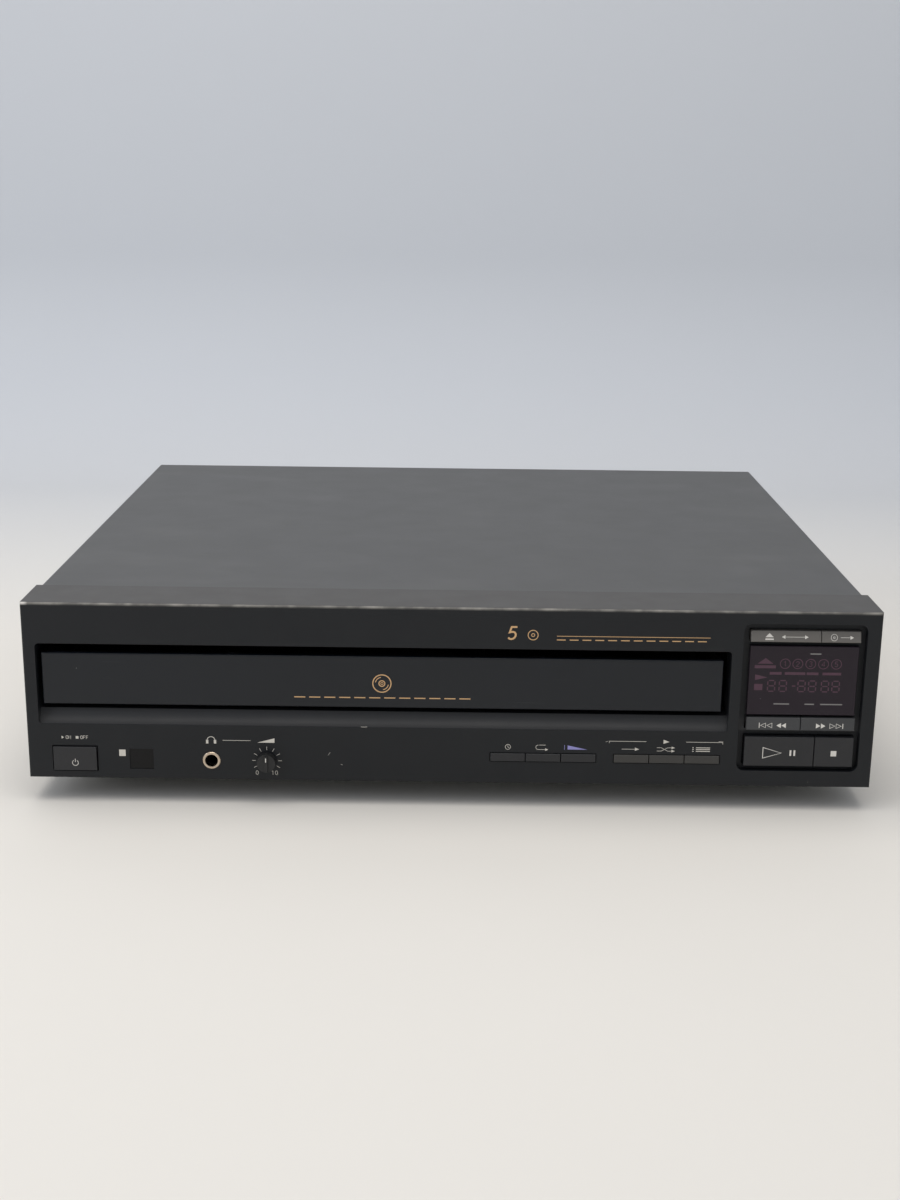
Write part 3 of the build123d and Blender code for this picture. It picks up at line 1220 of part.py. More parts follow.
# The plate has small disc recesses, windows open to the rim and a ring gear below.
with BuildPart() as carousel:
    upright(DRAWER_CENTRE, CAROUSEL_DEPTH, CAROUSEL_RADIUS, CAROUSEL_LOW, DISC_SEAT)
    window_length = CAROUSEL_RADIUS + POCKET_GAP - PLACE_WINDOW_START
    for place in range(PLACES):
        turned = place_plane(place, DISC_SEAT)
        with BuildSketch(turned) as small_pocket:
            with Locations((PLACE_CIRCLE, 0)):
                Circle(SMALL_DISC_RADIUS + POCKET_GAP)
        extrude(amount=SMALL_DISC_SEAT - DISC_SEAT, mode=Mode.SUBTRACT)
        with BuildSketch(turned) as disc_window:
            with Locations((PLACE_WINDOW_START + window_length / 2, 0)):
                Rectangle(window_length, 2 * PLACE_WINDOW_HALF)
            fillet(disc_window.vertices(), PLACE_WINDOW_CORNER)
            with Locations((CAROUSEL_RADIUS, 0)):
                Rectangle(2 * PLACE_WINDOW_CORNER, 2 * PLACE_WINDOW_HALF)
        extrude(amount=CAROUSEL_LOW - DISC_SEAT, mode=Mode.SUBTRACT)
    # ring gear with one tooth towards the table gear
    with BuildSketch(level(CAROUSEL_LOW - RING_HANG)) as ring_outline:
        ring = gear_points(
            RING_TEETH, TABLE_MODULE, DRAWER_CENTRE, CAROUSEL_DEPTH, TABLE_GEAR_ANGLE, 1
        )
        Polygon(*ring, align=None)
        with Locations((DRAWER_CENTRE, at_depth(CAROUSEL_DEPTH))):
            Circle(TABLE_MODULE * RING_TEETH / 2 - RING_WALL, mode=Mode.SUBTRACT)
    extrude(amount=RING_HANG)
    upright(DRAWER_CENTRE, CAROUSEL_DEPTH, hub_bore, CAROUSEL_LOW, DISC_SEAT, Mode.SUBTRACT)
carousel.part.label = "carousel"
export_step(carousel.part, "parts/carousel.step")

with BuildPart() as carousel_cap:
    upright(DRAWER_CENTRE, CAROUSEL_DEPTH, CAP_RADIUS, carousel_top, carousel_top + CAP_HEIGHT)
    fillet(carousel_cap.faces().sort_by(Axis.Z)[-1].edges(), CAP_HEIGHT / 2)
    post_room = HUB_POST_RADIUS + TURN_GAP
    room_top = carousel_top + TURN_GAP
    upright(DRAWER_CENTRE, CAROUSEL_DEPTH, post_room, carousel_top, room_top, Mode.SUBTRACT)
carousel_cap.part.label = "carousel_cap"
export_step(carousel_cap.part, "parts/carousel_cap.step")

# ---- Table drive on the tray: gear and pulley on one shaft, belt, motor pulley, motor ----
with BuildPart() as table_gear:
    gear_low = CAROUSEL_LOW - RING_HANG
    gear_high = CAROUSEL_LOW - TURN_GAP
    # a gap of this gear faces the ring's tooth
    facing_ring = TABLE_GEAR_ANGLE + pi + pi / TABLE_GEAR_TEETH
    with BuildSketch(level(gear_low)) as table_outline:
        teeth = gear_points(
            TABLE_GEAR_TEETH, TABLE_MODULE, TABLE_GEAR_X, TABLE_GEAR_DEPTH, facing_ring, 3
        )
        Polygon(*teeth, align=None)
    extrude(amount=gear_high - gear_low)
    upright(TABLE_GEAR_X, TABLE_GEAR_DEPTH, TABLE_SHAFT_RADIUS, TABLE_PULLEY_LOW, gear_low)
    pulley(TABLE_GEAR_X, TABLE_GEAR_DEPTH, TABLE_PULLEY_RADIUS, TABLE_PULLEY_LOW)
table_gear.part.label = "table_gear"
export_step(table_gear.part, "parts/table_gear.step")

with BuildPart() as table_motor_pulley:
    pulley(TABLE_MOTOR_X, TABLE_MOTOR_DEPTH, MOTOR_PULLEY_RADIUS, TABLE_PULLEY_LOW)
    shaft_top = TRAY_TOP + TABLE_MOTOR_TALL / 2
    upright(TABLE_MOTOR_X, TABLE_MOTOR_DEPTH, MOTOR_SHAFT_RADIUS, TABLE_PULLEY_LOW + PULLEY_TALL, shaft_top)
table_motor_pulley.part.label = "table_motor_pulley"
export_step(table_motor_pulley.part, "parts/table_motor_pulley.step")

with BuildPart() as table_motor:
    upright(TABLE_MOTOR_X, TABLE_MOTOR_DEPTH, MOTOR_RADIUS, TRAY_TOP, TRAY_TOP + TABLE_MOTOR_TALL)
    fillet(table_motor.faces().sort_by(Axis.Z)[-1].edges(), MOTOR_EDGE)
    motor_bore = MOTOR_SHAFT_RADIUS + SHAFT_GAP
    upright(TABLE_MOTOR_X, TABLE_MOTOR_DEPTH, motor_bore, TRAY_TOP, shaft_top + TURN_GAP, Mode.SUBTRACT)
table_motor.part.label = "table_motor"
export_step(table_motor.part, "parts/table_motor.step")

table_ends = (
    (TABLE_GEAR_X, TABLE_GEAR_DEPTH, TABLE_PULLEY_RADIUS),
    (TABLE_MOTOR_X, TABLE_MOTOR_DEPTH, MOTOR_PULLEY_RADIUS),
)
with BuildPart() as table_belt:
    add(belt_solid(table_ends, TABLE_PULLEY_LOW))
table_belt.part.label = "table_belt"
export_step(table_belt.part, "parts/table_belt.step")

# ---- Drawer rails: an upright wall with two lips that hold the tray's runner ----
with BuildPart() as drawer_rails:
    for side in (-1, 1):
        wall_inner = DRAWER_CENTRE + side * RAIL_INNER
        wall_outer = wall_inner + side * RAIL_WALL
        lip_inner = wall_inner - side * RAIL_LIP
        near = min(wall_inner, wall_outer)
        far = max(wall_inner, wall_outer)
        slab(near, far, RAIL_FRONT, RAIL_REAR, TRAY_LOW - RAIL_LIP, BRIDGE_LOW)
        slab(near, far, PLATE_FRONT, RAIL_REAR, PLATE_TOP, TRAY_LOW - RAIL_LIP)
        near = min(wall_inner, lip_inner)
        far = max(wall_inner, lip_inner)
        lower = TRAY_LOW - RAIL_GAP
        upper = TRAY_TOP + RAIL_GAP
        slab(near, far, RAIL_FRONT, RAIL_REAR, lower - RAIL_WALL, lower)
        slab(near, far, RAIL_FRONT, RAIL_REAR, upper, upper + RAIL_WALL)
drawer_rails.part.label = "drawer_rails"
export_step(drawer_rails.part, "parts/drawer_rails.step")

# ---- Mechanism plate: floor, front tongue, gear posts, motor seat and lift guide posts ----
with BuildPart() as mech_chassis:
    plate_left = DRAWER_CENTRE - RAIL_INNER - RAIL_WALL
    plate_right = DRAWER_CENTRE + RAIL_INNER + RAIL_WALL
    slab(plate_left, plate_right, PLATE_FRONT, PLATE_REAR, PLATE_LOW, PLATE_TOP)
    slab(TONGUE_LEFT, TONGUE_RIGHT, TONGUE_FRONT, PLATE_FRONT, PLATE_LOW, PLATE_TOP)
    shoulder_top = TRAIN_LOW - TURN_GAP
    pinion_post_top = RACK_LOW + TRAIN_THICK - GEAR_POST_SHY
    pulley_gear_top = LOADING_PULLEY_LOW + PULLEY_TALL
    upright(PINION_X, PINION_DEPTH, GEAR_POST_RADIUS, PLATE_TOP, pinion_post_top)
    upright(PINION_X, PINION_DEPTH, GEAR_POST_SHOULDER, PLATE_TOP, shoulder_top)
    upright(PINION_X, PULLEY_GEAR_DEPTH, GEAR_POST_RADIUS, PLATE_TOP, pulley_gear_top)
    upright(PINION_X, PULLEY_GEAR_DEPTH, GEAR_POST_SHOULDER, PLATE_TOP, shoulder_top)
    for x in (-GUIDE_POST_X, GUIDE_POST_X):
        for depth in GUIDE_POST_DEPTHS:
            upright(DRAWER_CENTRE + x, depth, GUIDE_POST_RADIUS, PLATE_TOP, GUIDE_POST_TOP)
mech_chassis.part.label = "mech_chassis"
export_step(mech_chassis.part, "parts/mech_chassis.step")

# ---- Loading train: pinion with its wheel, pulley gear, belt, motor pulley and motor ----
post_bore = GEAR_POST_RADIUS + SHAFT_GAP
with BuildPart() as loading_pinion:
    with BuildSketch(level(RACK_LOW)) as pinion_outline:
        # a gap of the pinion faces the rack, on its left
        pinion = gear_points(
            PINION_TEETH, RACK_MODULE, PINION_X, PINION_DEPTH, pi + pi / PINION_TEETH, 3
        )
        Polygon(*pinion, align=None)
    extrude(amount=TRAIN_THICK)
    with BuildSketch(level(TRAIN_LOW)) as wheel_outline:
        wheel = gear_points(PINION_WHEEL_TEETH, TRAIN_MODULE, PINION_X, PINION_DEPTH, pi / 2, 2)
        Polygon(*wheel, align=None)
    extrude(amount=TRAIN_THICK)
    upright(PINION_X, PINION_DEPTH, PINION_HUB_RADIUS, TRAIN_LOW + TRAIN_THICK, RACK_LOW)
    upright(PINION_X, PINION_DEPTH, post_bore, TRAIN_LOW, RACK_LOW + TRAIN_THICK, Mode.SUBTRACT)
loading_pinion.part.label = "loading_pinion"
export_step(loading_pinion.part, "parts/loading_pinion.step")

with BuildPart() as loading_pulley_gear:
    with BuildSketch(level(TRAIN_LOW)) as small_outline:
        small_gear = gear_points(
            PULLEY_GEAR_TEETH,
            TRAIN_MODULE,
            PINION_X,
            PULLEY_GEAR_DEPTH,
            -pi / 2 + pi / PULLEY_GEAR_TEETH,
            3,
        )
        Polygon(*small_gear, align=None)
    extrude(amount=TRAIN_THICK)
    neck_low = TRAIN_LOW + TRAIN_THICK
    upright(PINION_X, PULLEY_GEAR_DEPTH, PINION_HUB_RADIUS, neck_low, LOADING_PULLEY_LOW)
    pulley(PINION_X, PULLEY_GEAR_DEPTH, LOADING_PULLEY_RADIUS, LOADING_PULLEY_LOW)
    upright(PINION_X, PULLEY_GEAR_DEPTH, post_bore, TRAIN_LOW, pulley_gear_top, Mode.SUBTRACT)
loading_pulley_gear.part.label = "loading_pulley_gear"
export_step(loading_pulley_gear.part, "parts/loading_pulley_gear.step")

with BuildPart() as loading_motor:
    motor_top = LOADING_PULLEY_LOW - TURN_GAP
    hole_low = motor_top - MOTOR_SHAFT_INSIDE
    upright(LOADING_MOTOR_X, PULLEY_GEAR_DEPTH, MOTOR_RADIUS, PLATE_TOP, motor_top)
    fillet(loading_motor.faces().sort_by(Axis.Z)[-1].edges(), MOTOR_EDGE)
    upright(LOADING_MOTOR_X, PULLEY_GEAR_DEPTH, motor_bore, hole_low, motor_top, Mode.SUBTRACT)
loading_motor.part.label = "loading_motor"
export_step(loading_motor.part, "parts/loading_motor.step")

with BuildPart() as loading_motor_pulley:
    pulley(LOADING_MOTOR_X, PULLEY_GEAR_DEPTH, MOTOR_PULLEY_RADIUS, LOADING_PULLEY_LOW)
    shaft_low = hole_low + TURN_GAP
    upright(LOADING_MOTOR_X, PULLEY_GEAR_DEPTH, MOTOR_SHAFT_RADIUS, shaft_low, LOADING_PULLEY_LOW)
loading_motor_pulley.part.label = "loading_motor_pulley"
export_step(loading_motor_pulley.part, "parts/loading_motor_pulley.step")

loading_ends = (
    (PINION_X, PULLEY_GEAR_DEPTH, LOADING_PULLEY_RADIUS),
    (LOADING_MOTOR_X, PULLEY_GEAR_DEPTH, MOTOR_PULLEY_RADIUS),
)
with BuildPart() as loading_belt:
    add(belt_solid(loading_ends, LOADING_PULLEY_LOW))
loading_belt.part.label = "loading_belt"
export_step(loading_belt.part, "parts/loading_belt.step")

# ---- Clamp bridge over the tray, and the clamper that spins in it ----
with BuildPart() as clamp_bridge:
    bridge_top = BRIDGE_LOW + BRIDGE_THICK
    slab(plate_left, plate_right, BRIDGE_FRONT, BRIDGE_REAR, BRIDGE_LOW, bridge_top)
    rib_top = bridge_top + BRIDGE_RIB
    for depth in (BRIDGE_FRONT, BRIDGE_REAR - BRIDGE_RIB_WALL):
        slab(plate_left, plate_right, depth, depth + BRIDGE_RIB_WALL, bridge_top, rib_top)
    upright(DRAWER_CENTRE, SPINDLE_DEPTH, CLAMPER_HOLE, BRIDGE_LOW, bridge_top, Mode.SUBTRACT)
clamp_bridge.part.label = "clamp_bridge"
export_step(clamp_bridge.part, "parts/clamp_bridge.step")

with BuildPart() as clamper:
    flange_low = bridge_top + TURN_GAP
    flange_top = flange_low + CLAMPER_FLANGE_THICK
    upright(DRAWER_CENTRE, SPINDLE_DEPTH, CLAMPER_RADIUS, CLAMPER_LOW, flange_low)
    upright(DRAWER_CENTRE, SPINDLE_DEPTH, CLAMPER_FLANGE, flange_low, flange_top)
    cone_room = CONE_RADIUS + CONE_GAP
    recess_top = CLAMPER_LOW + CONE_HEIGHT + TURN_GAP
    upright(DRAWER_CENTRE, SPINDLE_DEPTH, cone_room, CLAMPER_LOW, recess_top, Mode.SUBTRACT)
clamper.part.label = "clamper"
export_step(clamper.part, "parts/clamper.step")

# ---- Pickup frame: a shallow tray that rises on four posts, lifted by two side pins ----
with BuildPart() as pickup_frame:
    frame_top = FRAME_LOW + FRAME_WALL
    left = DRAWER_CENTRE - FRAME_HALF
    right = DRAWER_CENTRE + FRAME_HALF
    slab(left, right, FRAME_FRONT, FRAME_REAR, FRAME_LOW, frame_top)
    rim_top = frame_top + FRAME_RIM
    rear_rim_top = frame_top + FRAME_REAR_RIM
    for near in (left, right - FRAME_WALL):
        slab(near, near + FRAME_WALL, FRAME_FRONT, FRAME_REAR, frame_top, rim_top)
    slab(left, right, FRAME_REAR - FRAME_WALL, FRAME_REAR, frame_top, rear_rim_top)
    for side in (-1, 1):
        lug = DRAWER_CENTRE + side * ROD_X
        lug_rear = ROD_FRONT + LUG_THICK
        slab(lug - LUG_HALF, lug + LUG_HALF, ROD_FRONT, lug_rear, frame_top, rim_top)
        fore_aft(lug, ROD_HEIGHT, ROD_RADIUS, ROD_FRONT, FRAME_REAR, Mode.SUBTRACT)
    slab(left, left + FRAME_WALL, FRAME_FRONT, FRAME_REAR, SKIRT_LOW, FRAME_LOW)
    for depth in LIFT_PIN_DEPTHS:
        sideways(depth, LIFT_PIN_HEIGHT, LIFT_PIN_RADIUS, left - LIFT_PIN_LENGTH, left)
    for x in (-GUIDE_POST_X, GUIDE_POST_X):
        for depth in GUIDE_POST_DEPTHS:
            guide_bore = GUIDE_POST_RADIUS + RUNNING_GAP
            upright(DRAWER_CENTRE + x, depth, guide_bore, FRAME_LOW, frame_top, Mode.SUBTRACT)
    pinion_x = DRAWER_CENTRE + SLED_PINION_X
    upright(pinion_x, SLED_PINION_DEPTH, motor_bore, FRAME_LOW, frame_top, Mode.SUBTRACT)
pickup_frame.part.label = "pickup_frame"
export_step(pickup_frame.part, "parts/pickup_frame.step")

# ---- Lift slider: an upright wall on a foot, with a straight slanted slot for each pin ----
with BuildPart() as lift_slider:
    slider_inner = DRAWER_CENTRE - SLIDER_OUT + SLIDER_WALL
    slider_outer = DRAWER_CENTRE - SLIDER_OUT
    slider_low = PLATE_TOP + SLIDER_GAP
    foot_left = slider_outer - SLIDER_FOOT
    foot_top = slider_low + SLIDER_WALL
    slab(slider_outer, slider_inner, SLIDER_FRONT, SLIDER_REAR, slider_low, SLIDER_TOP)
    slab(foot_left, slider_inner, SLIDER_FRONT, SLIDER_REAR, slider_low, foot_top)
    slot_height = 2 * (LIFT_PIN_RADIUS + SLOT_GAP)
    with BuildSketch(across(slider_outer)) as slots:
        for depth in LIFT_PIN_DEPTHS:
            low_end = Vector(at_depth(depth), at_height(LIFT_PIN_HEIGHT))
            high_end = Vector(at_depth(depth - LIFT), at_height(LIFT_PIN_HEIGHT + LIFT))
            with Locations((low_end + high_end) * 0.5):
                SlotCenterToCenter((high_end - low_end).length, slot_height, rotation=135)
    extrude(amount=SLIDER_WALL, mode=Mode.SUBTRACT)
lift_slider.part.label = "lift_slider"
export_step(lift_slider.part, "parts/lift_slider.step")

# ---- Spindle motor and turntable ----
with BuildPart() as spindle_motor:
    motor_high = frame_top + SPINDLE_MOTOR_HEIGHT
    upright(DRAWER_CENTRE, SPINDLE_DEPTH, MOTOR_RADIUS, frame_top, motor_high)
    fillet(spindle_motor.faces().sort_by(Axis.Z)[-1].edges(), MOTOR_EDGE)
    spindle_bore = SPINDLE_RADIUS + SHAFT_GAP
    bore_low = frame_top + SPINDLE_FLOOR
    upright(DRAWER_CENTRE, SPINDLE_DEPTH, spindle_bore, bore_low, motor_high, Mode.SUBTRACT)
spindle_motor.part.label = "spindle_motor"
export_step(spindle_motor.part, "parts/spindle_motor.step")

with BuildPart() as turntable:
    seat_low = TURNTABLE_SEAT - TURNTABLE_RIM
    upright(DRAWER_CENTRE, SPINDLE_DEPTH, TURNTABLE_RADIUS, seat_low, TURNTABLE_SEAT)
    with Locations((DRAWER_CENTRE, at_depth(SPINDLE_DEPTH), at_height(TURNTABLE_SEAT + CONE_HEIGHT / 2))):
        Cone(CONE_RADIUS, CONE_TIP_RADIUS, CONE_HEIGHT)
    hub_low = motor_high + TURN_GAP
    upright(DRAWER_CENTRE, SPINDLE_DEPTH, TURNTABLE_HUB_RADIUS, hub_low, seat_low)
    upright(DRAWER_CENTRE, SPINDLE_DEPTH, SPINDLE_RADIUS, bore_low + TURN_GAP, hub_low)
turntable.part.label = "turntable"
export_step(turntable.part, "parts/turntable.step")

# ---- Sled on two rods, with its lens, gear and motor ----
with BuildPart() as guide_rods:
    for side in (-1, 1):
        fore_aft(DRAWER_CENTRE + side * ROD_X, ROD_HEIGHT, ROD_RADIUS, ROD_FRONT, FRAME_REAR)
guide_rods.part.label = "guide_rods"
export_step(guide_rods.part, "parts/guide_rods.step")

with BuildPart() as pickup_sled:
    sled_half = SLED_RACK_PITCH_X - SLED_MODULE * DEDENDUM
    sled_left = DRAWER_CENTRE - sled_half
    sled_right = DRAWER_CENTRE + ROD_X + SLED_BEYOND_ROD
    sled_rear = SLED_FRONT + SLED_LENGTH
    sled_top = SLED_LOW + SLED_THICK
    slab(sled_left, sled_right, SLED_FRONT, sled_rear, SLED_LOW, sled_top)
    with BuildSketch(level(SLED_LOW)) as sled_rack:
        sled_step = pi * SLED_MODULE
        before = floor((SLED_PINION_DEPTH - SLED_RACK_FRONT) / sled_step) - 1
        after = floor((SLED_RACK_REAR - SLED_PINION_DEPTH) / sled_step) - 1
        teeth = rack_points(
            SLED_MODULE,
            DRAWER_CENTRE + SLED_RACK_PITCH_X,
            SLED_RACK_FRONT,
            SLED_RACK_REAR,
            SLED_PINION_DEPTH,
            sled_right,
            (-before, after),
        )
        Polygon(*teeth, align=None)
    extrude(amount=SLED_THICK)
    block_top = LENS_LOW + LENS_BLOCK_RISE
    slab(
        DRAWER_CENTRE - LENS_BLOCK_HALF,
        DRAWER_CENTRE + LENS_BLOCK_HALF,
        SLED_FRONT,
        SLED_FRONT + LENS_BLOCK_LENGTH,
        sled_top,
        block_top,
    )
    pocket_floor = LENS_LOW - LENS_DROP
    pocket_radius = LENS_RADIUS + TURN_GAP
    upright(DRAWER_CENTRE, LENS_DEPTH, pocket_radius, pocket_floor, block_top, Mode.SUBTRACT)
    for side in (-1, 1):
        rod_bore = ROD_RADIUS + SHAFT_GAP
        rod_x = DRAWER_CENTRE + side * ROD_X
        fore_aft(rod_x, ROD_HEIGHT, rod_bore, SLED_RACK_FRONT, sled_rear, Mode.SUBTRACT)
pickup_sled.part.label = "pickup_sled"
export_step(pickup_sled.part, "parts/pickup_sled.step")

with BuildPart() as objective_lens:
    upright(DRAWER_CENTRE, LENS_DEPTH, LENS_RADIUS, LENS_LOW, LENS_LOW + LENS_THICK)
    fillet(objective_lens.faces().sort_by(Axis.Z)[-1].edges(), LENS_THICK / 2)
objective_lens.part.label = "objective_lens"
export_step(objective_lens.part, "parts/objective_lens.step")

with BuildPart() as sled_gear:
    with BuildSketch(level(SLED_LOW)) as sled_pinion:
        teeth = gear_points(
            SLED_PINION_TEETH,
            SLED_MODULE,
            pinion_x,
            SLED_PINION_DEPTH,
            pi + pi / SLED_PINION_TEETH,
            2,
        )
        Polygon(*teeth, align=None)
    extrude(amount=SLED_GEAR_THICK)
    sled_shaft_low = FRAME_LOW - SLED_SHAFT_REACH
    upright(pinion_x, SLED_PINION_DEPTH, MOTOR_SHAFT_RADIUS, sled_shaft_low, SLED_LOW)
sled_gear.part.label = "sled_gear"
export_step(sled_gear.part, "parts/sled_gear.step")

with BuildPart() as sled_motor:
    sled_motor_low = FRAME_LOW - SLED_MOTOR_TALL
    upright(pinion_x, SLED_PINION_DEPTH, SLED_MOTOR_RADIUS, sled_motor_low, FRAME_LOW)
    motor_mouth = sled_shaft_low - TURN_GAP
    upright(pinion_x, SLED_PINION_DEPTH, motor_bore, motor_mouth, FRAME_LOW, Mode.SUBTRACT)
sled_motor.part.label = "sled_motor"
export_step(sled_motor.part, "parts/sled_motor.step")
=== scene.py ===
"""Multi disc CD changer: finishes, prints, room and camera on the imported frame."""
from math import cos, pi, radians, sin

import bpy
import numpy as np
from mathutils import Matrix, Vector


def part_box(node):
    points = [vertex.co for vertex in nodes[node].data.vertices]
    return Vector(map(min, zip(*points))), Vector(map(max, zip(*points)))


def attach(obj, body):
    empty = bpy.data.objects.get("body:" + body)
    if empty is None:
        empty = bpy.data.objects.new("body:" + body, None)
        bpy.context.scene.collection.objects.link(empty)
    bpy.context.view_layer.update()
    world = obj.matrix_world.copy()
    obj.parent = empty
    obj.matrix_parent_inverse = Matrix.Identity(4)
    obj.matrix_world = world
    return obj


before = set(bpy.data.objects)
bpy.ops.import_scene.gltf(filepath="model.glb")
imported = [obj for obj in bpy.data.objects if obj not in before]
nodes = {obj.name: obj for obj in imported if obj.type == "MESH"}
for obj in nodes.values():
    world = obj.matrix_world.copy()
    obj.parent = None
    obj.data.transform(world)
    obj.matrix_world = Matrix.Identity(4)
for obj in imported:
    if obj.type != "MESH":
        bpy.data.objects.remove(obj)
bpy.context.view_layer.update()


# ---- Top cover ----
# One sheet of steel folded down over both sides and sprayed with charcoal stoving enamel.
# The enamel has a faint orange peel, and years of use have left dust specks and hairlines.
MM = 0.001


def colour(hex_code):
    """An sRGB hex colour as the linear RGBA that shaders take."""
    channels = np.array([int(hex_code[i : i + 2], 16) for i in (1, 3, 5)]) / 255
    linear = np.where(channels <= 0.04045, channels / 12.92, ((channels + 0.055) / 1.055) ** 2.4)
    return (*linear.tolist(), 1.0)


def add_node(tree, kind, inputs=None, **settings):
    """One shader node: its settings are set first, then each input gets a value or a link."""
    node = tree.nodes.new("ShaderNode" + kind)
    for key, value in settings.items():
        setattr(node, key, value)
    for key, value in (inputs or {}).items():
        if isinstance(value, bpy.types.NodeSocket):
            tree.links.new(value, node.inputs[key])
        else:
            node.inputs[key].default_value = value
    return node


def surface(name, tones, cloud, roughness, grain, relief, edge=0.0, metallic=0.0, ior=1.5):
    """A finish on Object coordinates, its lengths in millimetres.

    The tone drifts between two colours over `cloud`, the roughness between two values over a
    quarter of it, and the surface rises by `relief` in grains `grain` wide. `edge` rounds the
    shading of sharp edges. A real moulded or sprayed texture is 0.1 to 0.3 mm wide, so grains
    are drawn coarser than that to show in a render of the whole object. Returns the material
    with its tree, shader, coordinates and tone.
    """
    material = bpy.data.materials.new(name)
    material.use_nodes = True
    tree = material.node_tree
    shader = tree.nodes["Principled BSDF"]
    place = add_node(tree, "TexCoord").outputs["Object"]
    drift = add_node(tree, "TexNoise", {"Vector": place, "Scale": 1 / (cloud * MM), "Detail": 3.0})
    tone = add_node(
        tree,
        "Mix",
        {0: drift.outputs["Fac"], 6: colour(tones[0]), 7: colour(tones[1])},
        data_type="RGBA",
    ).outputs[2]
    rub = add_node(tree, "TexNoise", {"Vector": place, "Scale": 4 / (cloud * MM), "Detail": 4.0})
    sheen = add_node(
        tree,
        "MapRange",
        {
            "Value": rub.outputs["Fac"],
            "From Min": 0.3,
            "From Max": 0.7,
            "To Min": roughness[0],
            "To Max": roughness[1],
        },
    )
    texture = add_node(tree, "TexNoise", {"Vector": place, "Scale": 1 / (grain * MM), "Detail": 2.0})
    lift = {"Height": texture.outputs["Fac"], "Strength": 1.0, "Distance": relief * MM}
    if edge:
        lift["Normal"] = add_node(tree, "Bevel", {"Radius": edge * MM}, samples=4).outputs["Normal"]
    bump = add_node(tree, "Bump", lift)
    tree.links.new(tone, shader.inputs["Base Color"])
    tree.links.new(sheen.outputs["Result"], shader.inputs["Roughness"])
    tree.links.new(bump.outputs["Normal"], shader.inputs["Normal"])
    shader.inputs["Metallic"].default_value = metallic
    shader.inputs["IOR"].default_value = ior
    return material, tree, shader, place, tone


def overlay(tree, shader, tone, mask, hex_code):
    """Lays a second colour over a finish where the mask is 1, and returns the new tone."""
    mixed = add_node(tree, "Mix", {0: mask, 6: tone, 7: colour(hex_code)}, data_type="RGBA").outputs[2]
    tree.links.new(mixed, shader.inputs["Base Color"])
    return mixed


def specks(tree, place, spacing, size, share):
    """A mask of round specks: cells `spacing` apart, each speck `size` wide, in a share of them."""
    cells = add_node(tree, "TexVoronoi", {"Vector": place, "Scale": 1 / (spacing * MM)})
    near = add_node(
        tree,
        "Math",
        {0: cells.outputs["Distance"], 1: size / spacing / 2},
        operation="LESS_THAN",
    )
    pick = add_node(tree, "SeparateColor", {"Color": cells.outputs["Color"]})
    chosen = add_node(tree, "Math", {0: pick.outputs["Red"], 1: share}, operation="LESS_THAN")
    return add_node(
        tree, "Math", {0: near.outputs["Value"], 1: chosen.outputs["Value"]}, operation="MULTIPLY"
    ).outputs["Value"]


def hairlines(tree, place, length, width, turn, share, soft=0.04):
    """A mask of streaks: noise drawn out `length` by `width`, kept at its peaks.

    A small `soft` gives crisp hairlines and a large one gives faint smudges.
    """
    scale = (1 / length / MM, 1 / width / MM, 1 / width / MM)
    drawn = add_node(
        tree, "Mapping", {"Vector": place, "Rotation": (0.0, 0.0, turn), "Scale": scale}
    )
    noise = add_node(tree, "TexNoise", {"Vector": drawn.outputs["Vector"], "Scale": 1.0, "Detail": 1.0})
    return add_node(
        tree,
        "MapRange",
        {"Value": noise.outputs["Fac"], "From Min": 1 - share, "From Max": 1 - share + soft},
    ).outputs["Result"]


def dress(material, *names):
    """Gives a finish to CAD nodes in place of their plain slot colour."""
    for name in names:
        mesh = nodes[name].data
        mesh.materials.clear()
        mesh.materials.append(material)


# Stoving enamel on steel, sprayed: an even satin charcoal with a soft, broad reflection.
enamel, tree, shader, place, tone = surface(
    "charcoal_stoving_enamel", ("#464646", "#494948"),
    cloud=90, roughness=(0.42, 0.45), grain=1.2, relief=0.01,
)
tone = overlay(tree, shader, tone, hairlines(tree, place, 70, 30, 0.5, 0.44, 0.5), "#565655")
tone = overlay(tree, shader, tone, hairlines(tree, place, 60, 0.5, 0.4, 0.27), "#575652")
overlay(tree, shader, tone, specks(tree, place, 11, 0.7, 0.16), "#8b8880")
dress(enamel, "top_cover")

# The rear panel has the same paint, sprayed thinner and duller where no one looks.
rear_paint = surface(
    "dull_black_enamel", ("#1f2022", "#27282a"),
    cloud=60, roughness=(0.5, 0.62), grain=1.0, relief=0.015,
)[0]
dress(rear_paint, "rear_panel")

# Blackened steel screws with a worn, slightly bright drive.
screw_black = surface(
    "blackened_steel", ("#121212", "#2a2927"),
    cloud=3, roughness=(0.3, 0.45), grain=0.6, relief=0.01, edge=0.2, metallic=0.6,
)[0]
dress(screw_black, "case_screws")


# ---- Front panel ----
# One moulding of charcoal ABS with recesses for the drawer, the display and the keys. The texture
# is fine and matt; a painted highlight runs along the top edge and is paler at the top left corner.
panel_low, panel_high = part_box("front_panel")
FACE = panel_low.y
EDGE = panel_low.z
# Where each painted highlight begins and where it is full, in millimetres: below the top edge,
# behind the face, in from the left end, and above the bottom edge for the scooped ledge.
HIGHLIGHT_BELOW_TOP = (1.5, 0.5)
HIGHLIGHT_BEHIND_FACE = (1.6, 0.6)
PALER_FROM_LEFT = (4.0, 2.0)
FLANGE_BELOW_TOP = (0.2, 0.1)
FLANGE_BEHIND_FACE = (1.0, 2.0)
LEDGE_HEAD = (37.5, 34.0)
LEDGE_FOOT = (28.5, 29.5)
LEDGE_BEHIND_FACE = (0.1, 0.6)

